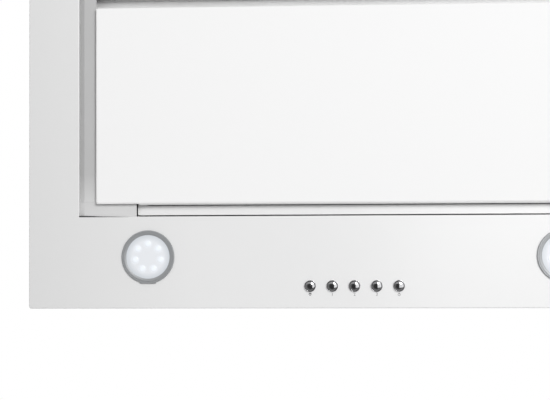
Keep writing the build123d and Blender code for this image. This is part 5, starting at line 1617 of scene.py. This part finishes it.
@dataclass
class DuctCollar(SubAssembly):
    """The moulded outlet with its clamp bead, its rim, its gussets and its two ribbed flaps.

    Attributes:
        centre: The collar's axis, X and Y.
        radius: Its outer radius.
        flange_top: Height of its flange's top.
        gusset_reach: How far a gusset reaches out.
        gusset_height: How high it stands.
        gusset_width: Its thickness.
        gusset_turns: The gussets' places round the collar, in degrees.
        clamp_z: Height of the clamp bead.
        clamp_out: How far the bead and the rim stand out.
        flap_z: Height of the flaps' upper faces.
        flap_reach: Radius that the flaps' ribs stay within.
        rib_start: Where a rib starts, from the pin.
        ribs: The ribs' places along the pin.
    """

    centre: tuple[float, float] = (0.0, 42.5 * MM)
    radius: float = 75.0 * MM
    flange_top: float = 177.2 * MM
    gusset_reach: float = 8.6 * MM
    gusset_height: float = 15.0 * MM
    gusset_width: float = 2.0 * MM
    gusset_turns: tuple[float, ...] = tuple(
        22.5 * step for step in range(16) if step % 4 != 2
    )
    clamp_z: float = 206.0 * MM
    clamp_out: float = 1.1 * MM
    flap_z: float = 183.8 * MM
    flap_reach: float = 66.0 * MM
    rib_start: float = 15.0 * MM
    ribs: tuple[float, ...] = (-0.046, -0.0155, 0.0155, 0.046)

    def gusset(self) -> bpy.types.Object:
        """Models one gusset about the origin's axis, pointing along X."""
        half = self.gusset_width / 2
        start = (self.radius - 0.4 * MM, -half, self.flange_top - 0.1 * MM)
        end = (self.radius + self.gusset_reach, half, self.flange_top + 1.5 * MM)
        piece = Bench.box("collar_gusset", start, end)
        with Bench.editing(piece):
            Bench.pick(piece, lambda at, facing: facing.z > 0.9)
            rise = self.gusset_height - 1.5 * MM
            Bench.push((0.0, 0.0, rise))
            centre = (start[0], 0.0, end[2] + rise)
            bpy.ops.transform.resize(value=(0.08, 0.6, 1.0), center_override=centre)
        return piece

    def ring(self, name: str, z: float, half: float) -> bpy.types.Object:
        """Models a rounded ring round the collar's outside.

        Args:
            name: Its name.
            z: The height of its middle.
            half: Half its height.

        Returns:
            The ring.
        """
        inner = self.radius - 0.3 * MM
        bulge = [
            (self.radius + self.clamp_out * math.cos(k * math.pi / 8), z + half * math.sin(k * math.pi / 8))
            for k in range(-4, 5)
        ]
        return Bench.turned(name, [(inner, z - half), *bulge, (inner, z + half)], self.centre, steps=128)

    def flap_ribs(self, side: int) -> bpy.types.Object:
        """Models the ribs on one flap.

        Args:
            side: 1 for the rear flap, -1 for the front one.

        Returns:
            The ribs.
        """
        made = []
        for number, x in enumerate(self.ribs):
            end = math.sqrt(self.flap_reach**2 - x * x)
            middle = (x, self.centre[1] + side * (self.rib_start + end) / 2, self.flap_z)
            rib = Bead(middle, (0, 0, 1), (0, 1, 0), end - self.rib_start, 3.0 * MM, 1.2 * MM)
            made.append(rib.model(f"flap_rib_{side}_{number}"))
        return Bench.weld(made)

    def build(self) -> None:
        """Models the gussets, the rings and the ribs, and dresses the collar and its flaps."""
        self.dress(BLACK, "outlet_collar", "front_flap", "rear_flap")
        self.dress(PLATED, "flap_pin", "collar_screws")
        first = self.gusset()
        made = []
        for turn in self.gusset_turns:
            piece = Bench.copy(first, f"gusset_{turn:.0f}", (0.0, 0.0, 0.0))
            piece.data.transform(Matrix.Rotation(math.radians(turn), 4, "Z"))
            piece.data.transform(Matrix.Translation((*self.centre, 0.0)))
            made.append(piece)
        bpy.data.objects.remove(first)
        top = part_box("outlet_collar")[1].z
        made.append(self.ring("clamp_bead", self.clamp_z, 2.0 * MM))
        made.append(self.ring("collar_rim", top - 1.6 * MM, 1.5 * MM))
        Bench.seat(Bench.weld(made, "collar_ribs"), Body.HOOD, BLACK, "black_moulding")
        for side, body in ((-1, Body.FRONT_FLAP), (1, Body.REAR_FLAP)):
            ribs = self.flap_ribs(side)
            ribs.name = f"{body.value}_ribs"
            Bench.seat(ribs, body, BLACK, "black_moulding")


@dataclass
class Blower(SubAssembly):
    """The casing, the wheel, the motor and its capacitor."""

    def build(self) -> None:
        """Dresses the blower."""
        self.dress(BLACK, "left_scroll", "right_scroll")
        self.dress(GREY, "fan_wheel", "motor_bracket")
        self.dress(MOTOR_STEEL, "motor")
        self.dress(PLATED, "fan_shaft", "capacitor_strap")
        self.dress(CAN, "capacitor")


@dataclass
class MainsBox(SubAssembly):
    """The terminal box on the top sheet and the lamps' supply.

    Attributes:
        knockout: Radius of a knock-out.
        lid_ribs: The lid's ribs, by their distance from its middle.
        lid_rib_length: Their length.
        grips: How many grips the gland's dome has.
        grip_radius: Where they lie.
        grip_length: Their length.
    """

    knockout: float = 9.0 * MM
    lid_ribs: tuple[float, ...] = (-0.018, -0.006, 0.006, 0.018)
    lid_rib_length: float = 62.0 * MM
    grips: int = 16
    grip_radius: float = 7.4 * MM
    grip_length: float = 9.0 * MM

    def knockouts(self) -> list[bpy.types.Object]:
        """Models a ringed knock-out on the box's two ends and its front."""
        low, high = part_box("terminal_box")
        mid = (low + high) / 2
        spots = (
            ((low.x, mid.y, mid.z), (-1, 0, 0), (0, 1, 0)),
            ((high.x, mid.y, mid.z), (1, 0, 0), (0, 1, 0)),
            ((mid.x - 0.022, low.y, mid.z), (0, -1, 0), (1, 0, 0)),
            ((mid.x + 0.022, low.y, mid.z), (0, -1, 0), (1, 0, 0)),
        )
        made = []
        for number, (place, facing, along) in enumerate(spots):
            r, h = self.knockout, 0.6 * MM
            profile = [
                (r - 1.1 * MM, -0.1 * MM),
                (r - 1.1 * MM, h - 0.2 * MM),
                (r - 0.9 * MM, h),
                (r - 0.2 * MM, h),
                (r, h - 0.2 * MM),
                (r, -0.1 * MM),
            ]
            ring = Bench.turned(f"knockout_{number}", profile, (0.0, 0.0), steps=48)
            made.append(Bench.lay(ring, place, facing, along))
        return made

    def lid_beads(self) -> list[bpy.types.Object]:
        """Models the lid's ribs."""
        low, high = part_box("terminal_lid")
        mid = (low + high) / 2
        return [
            Bead((mid.x, mid.y + y, high.z), (0, 0, 1), (1, 0, 0), self.lid_rib_length, 3.0 * MM, 0.9 * MM)
            .model(f"lid_rib_{number}")
            for number, y in enumerate(self.lid_ribs)
        ]

    def gland_grips(self) -> bpy.types.Object:
        """Models the grips round the gland's dome."""
        low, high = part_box("cord_gland")
        mid = (low + high) / 2
        middle = high.y - self.grip_length / 2 - 1.0 * MM
        made = []
        for number in range(self.grips):
            turn = number * math.tau / self.grips
            facing = (math.cos(turn), 0.0, math.sin(turn))
            place = (mid.x + self.grip_radius * facing[0], middle, mid.z + self.grip_radius * facing[2])
            grip = Bead(place, facing, (0, 1, 0), self.grip_length, 1.6 * MM, 0.9 * MM)
            made.append(grip.model(f"gland_grip_{number}"))
        return Bench.weld(made, "gland_grips")

    def build(self) -> None:
        """Models the box's details and dresses the box, its lid, gland and screws, and the supply."""
        self.dress(GREY, "terminal_box", "terminal_lid")
        self.dress(BLACK, "cord_gland", "led_driver")
        self.dress(PLATED, "terminal_screws", "lamp_springs")
        details = Bench.weld(self.knockouts() + self.lid_beads(), "terminal_box_details")
        Bench.seat(details, Body.HOOD, GREY, "grey_moulding")
        Bench.seat(self.gland_grips(), Body.HOOD, BLACK, "black_moulding")


# ------------------------------------------------------------------ studio
@dataclass
class Softbox:
    """A rectangular area lamp.

    Attributes:
        name: Its name.
        place: Where it stands.
        aim: What it points at.
        size: Its width.
        watts: Its power.
        height: Its height, the same as its width where none is given.
        card: Whether it is a reflector card, which only shines in glossy surfaces.
    """

    name: str
    place: Point
    aim: Point
    size: float
    watts: float
    height: float = 0.0
    card: bool = False

    def build(self) -> None:
        """Adds the lamp."""
        data = bpy.data.lights.new(self.name, "AREA")
        data.shape = "RECTANGLE"
        data.size = self.size
        data.size_y = self.height or self.size
        data.energy = self.watts
        lamp = bpy.data.objects.new(self.name, data)
        bpy.context.scene.collection.objects.link(lamp)
        lamp.location = self.place
        lamp.rotation_euler = (Vector(self.aim) - Vector(self.place)).to_track_quat("-Z", "Y").to_euler()
        lamp.visible_camera = False
        if self.card:
            lamp.visible_diffuse = False


@dataclass
class Studio:
    """Camera below the hood, plain soft lamps, pale floor and white background.

    Attributes:
        eye: The camera's place.
        yaw: Its turn about the picture's upright, in degrees.
        pitch: Its turn about the picture's width, in degrees.
        roll: Its turn about its own axis, in degrees.
        lens: Its focal length in millimetres.
        shift: Its sideways and upward shift.
        floor_z: The floor's height, far below the hood.
        floor_size: Its width.
        floor_glow: What the floor gains where the camera sees it.
        floor_tones: The two greys that it wanders between.
        flag_z: Height of the dark flag, just below the camera.
        flag_size: Its width.
        flag_rear: Where it ends, along Y.
        flag_dark: The middle of its darkest part.
        flag_inner: Radius of its darkest part.
        flag_outer: Radius at which it is grey.
        flag_tones: Its darkest grey and its outer grey.
        ambience: Strength of the light from all round.
    """

    eye: Point = (0.0179, -0.0814, -0.8880)
    yaw: float = 2.621
    pitch: float = 1.414
    roll: float = -0.254
    lens: float = 73.0
    shift: tuple[float, float] = (-0.010, 0.0023)
    floor_z: float = -3.0
    floor_size: float = 60.0
    floor_glow: float = 0.32
    floor_tones: tuple[float, float] = (0.88, 0.9)
    flag_z: float = -0.95
    flag_size: float = 3.0
    flag_rear: float = 0.32
    flag_dark: tuple[float, float] = (0.03, -0.24)
    flag_inner: float = 0.45
    flag_outer: float = 0.95
    flag_tones: tuple[float, float] = (0.06, 0.38)
    ambience: float = 0.58

    def camera(self) -> None:
        """Sets the camera as the photograph has it."""
        data = bpy.data.cameras.new("camera")
        data.lens = self.lens
        data.shift_x, data.shift_y = self.shift
        data.clip_start, data.clip_end = 0.01, 50.0
        camera = bpy.data.objects.new("camera", data)
        bpy.context.scene.collection.objects.link(camera)
        looking_up = Matrix.Rotation(math.pi, 4, "Y")
        turn = (
            Matrix.Rotation(math.radians(self.yaw), 4, "Y")
            @ Matrix.Rotation(math.radians(self.pitch), 4, "X")
            @ Matrix.Rotation(math.radians(self.roll), 4, "Z")
        )
        camera.matrix_world = Matrix.Translation(self.eye) @ looking_up @ turn
        bpy.context.scene.camera = camera

    def world(self) -> None:
        """Sets a white background for the camera, gloss and glass, and an even light for the rest."""
        world = bpy.data.worlds.new("studio")
        world.use_nodes = True
        bpy.context.scene.world = world
        graph = Graph(world.node_tree)
        path = graph.add("LightPath")
        seen = graph.maths("MAXIMUM", path.outputs["Is Camera Ray"], path.outputs["Is Glossy Ray"])
        seen = graph.maths("MAXIMUM", seen, path.outputs["Is Transmission Ray"])
        strength = graph.spread(seen, self.ambience, 1.0)
        back = graph.add("Background", {"Color": WHITE, "Strength": strength})
        graph.add("OutputWorld", {"Surface": back.outputs[0]})

    def floor(self) -> None:
        """Lays the pale floor."""
        Bench.clear()
        bpy.ops.mesh.primitive_plane_add(size=self.floor_size, location=(0, 0, self.floor_z))
        floor = bpy.context.active_object
        floor.name = "floor"
        made, graph = new_material("pale_floor")
        place = graph.add("TexCoord").outputs["Object"]
        fine = graph.add("TexNoise", {"Vector": place, "Scale": 60.0, "Detail": 3.0})
        tone = graph.blend(fine.outputs["Fac"], *map(grey, self.floor_tones))
        looks = {"Base Color": tone, "Roughness": 0.9, "Emission Color": WHITE}
        shader = graph.add("BsdfPrincipled", looks)
        seen = graph.maths("MULTIPLY", graph.add("LightPath").outputs["Is Camera Ray"], self.floor_glow)
        graph.put(shader.inputs["Emission Strength"], seen)
        graph.add("OutputMaterial", {"Surface": shader.outputs[0]})
        floor.data.materials.append(made)

    def flag(self) -> None:
        """Hangs the dark flag round the camera, which only glossy surfaces see."""
        Bench.clear()
        length = self.flag_size / 2 + self.flag_rear
        middle = (0, (self.flag_rear - self.flag_size / 2) / 2, self.flag_z)
        bpy.ops.mesh.primitive_plane_add(size=1.0, location=middle)
        flag = bpy.context.active_object
        flag.scale = (self.flag_size, length, 1.0)
        Bench.settle(flag)
        flag.name = "dark_flag"
        for ray in ("visible_camera", "visible_diffuse", "visible_transmission", "visible_shadow"):
            setattr(flag, ray, False)
        made, graph = new_material("dark_flag")
        place = graph.add("TexCoord").outputs["Object"]
        centre = (*self.flag_dark, self.flag_z)
        away = graph.add("VectorMath", {0: place, 1: centre}, operation="DISTANCE").outputs["Value"]
        share = graph.spread(away, 0.0, 1.0, self.flag_inner, self.flag_outer)
        tone = graph.blend(share, *map(grey, self.flag_tones))
        shader = graph.add("BsdfPrincipled", {"Base Color": tone, "Roughness": 1.0})
        graph.add("OutputMaterial", {"Surface": shader.outputs[0]})
        flag.data.materials.append(made)

    def build(self) -> None:
        """Builds the whole studio."""
        bpy.context.scene.view_settings.view_transform = "Standard"
        self.camera()
        self.world()
        self.floor()
        self.flag()
        lamps = (
            Softbox("key", (-0.935, 0.85, -2.3), aim=(0.0, 0.0, 0.0), size=1.0, watts=48.0),
            Softbox(
                "card", (-0.215, -0.04, -0.17), aim=(-0.215, -0.04, 0.0), size=0.33, watts=0.42, height=0.32,
                card=True,
            ),
            Softbox("top", (0.15, 0.25, 1.5), aim=(0.0, 0.0, 0.1), size=1.6, watts=7.5),
        )
        for lamp in lamps:
            lamp.build()


def middle_of(node: str) -> Vector:
    """The middle of a CAD node's box at rest."""
    low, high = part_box(node)
    return (low + high) / 2


def main() -> None:
    """Builds every sub-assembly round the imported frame, then the studio."""
    logging.basicConfig(level=logging.INFO, format="%(name)s %(message)s", stream=sys.stdout)
    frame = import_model()
    nodes = frame["nodes"]
    buttons = [middle_of(f"button_{number}") for number in range(1, 6)]
    assemblies = [
        FaceFrame(nodes, buttons),
        SuctionPanel(nodes),
        GreaseFilter(nodes),
        Lamp(nodes, "left"),
        Lamp(nodes, "right"),
        ButtonRow(nodes, buttons),
        BodyShell(nodes),
        DuctCollar(nodes),
        Blower(nodes),
        MainsBox(nodes),
        Studio(),
    ]
    for assembly in assemblies:
        LOG.info("building %s", type(assembly).__name__)
        assembly.build()
    bpy.context.view_layer.update()


if __name__ == "__main__":
    main()
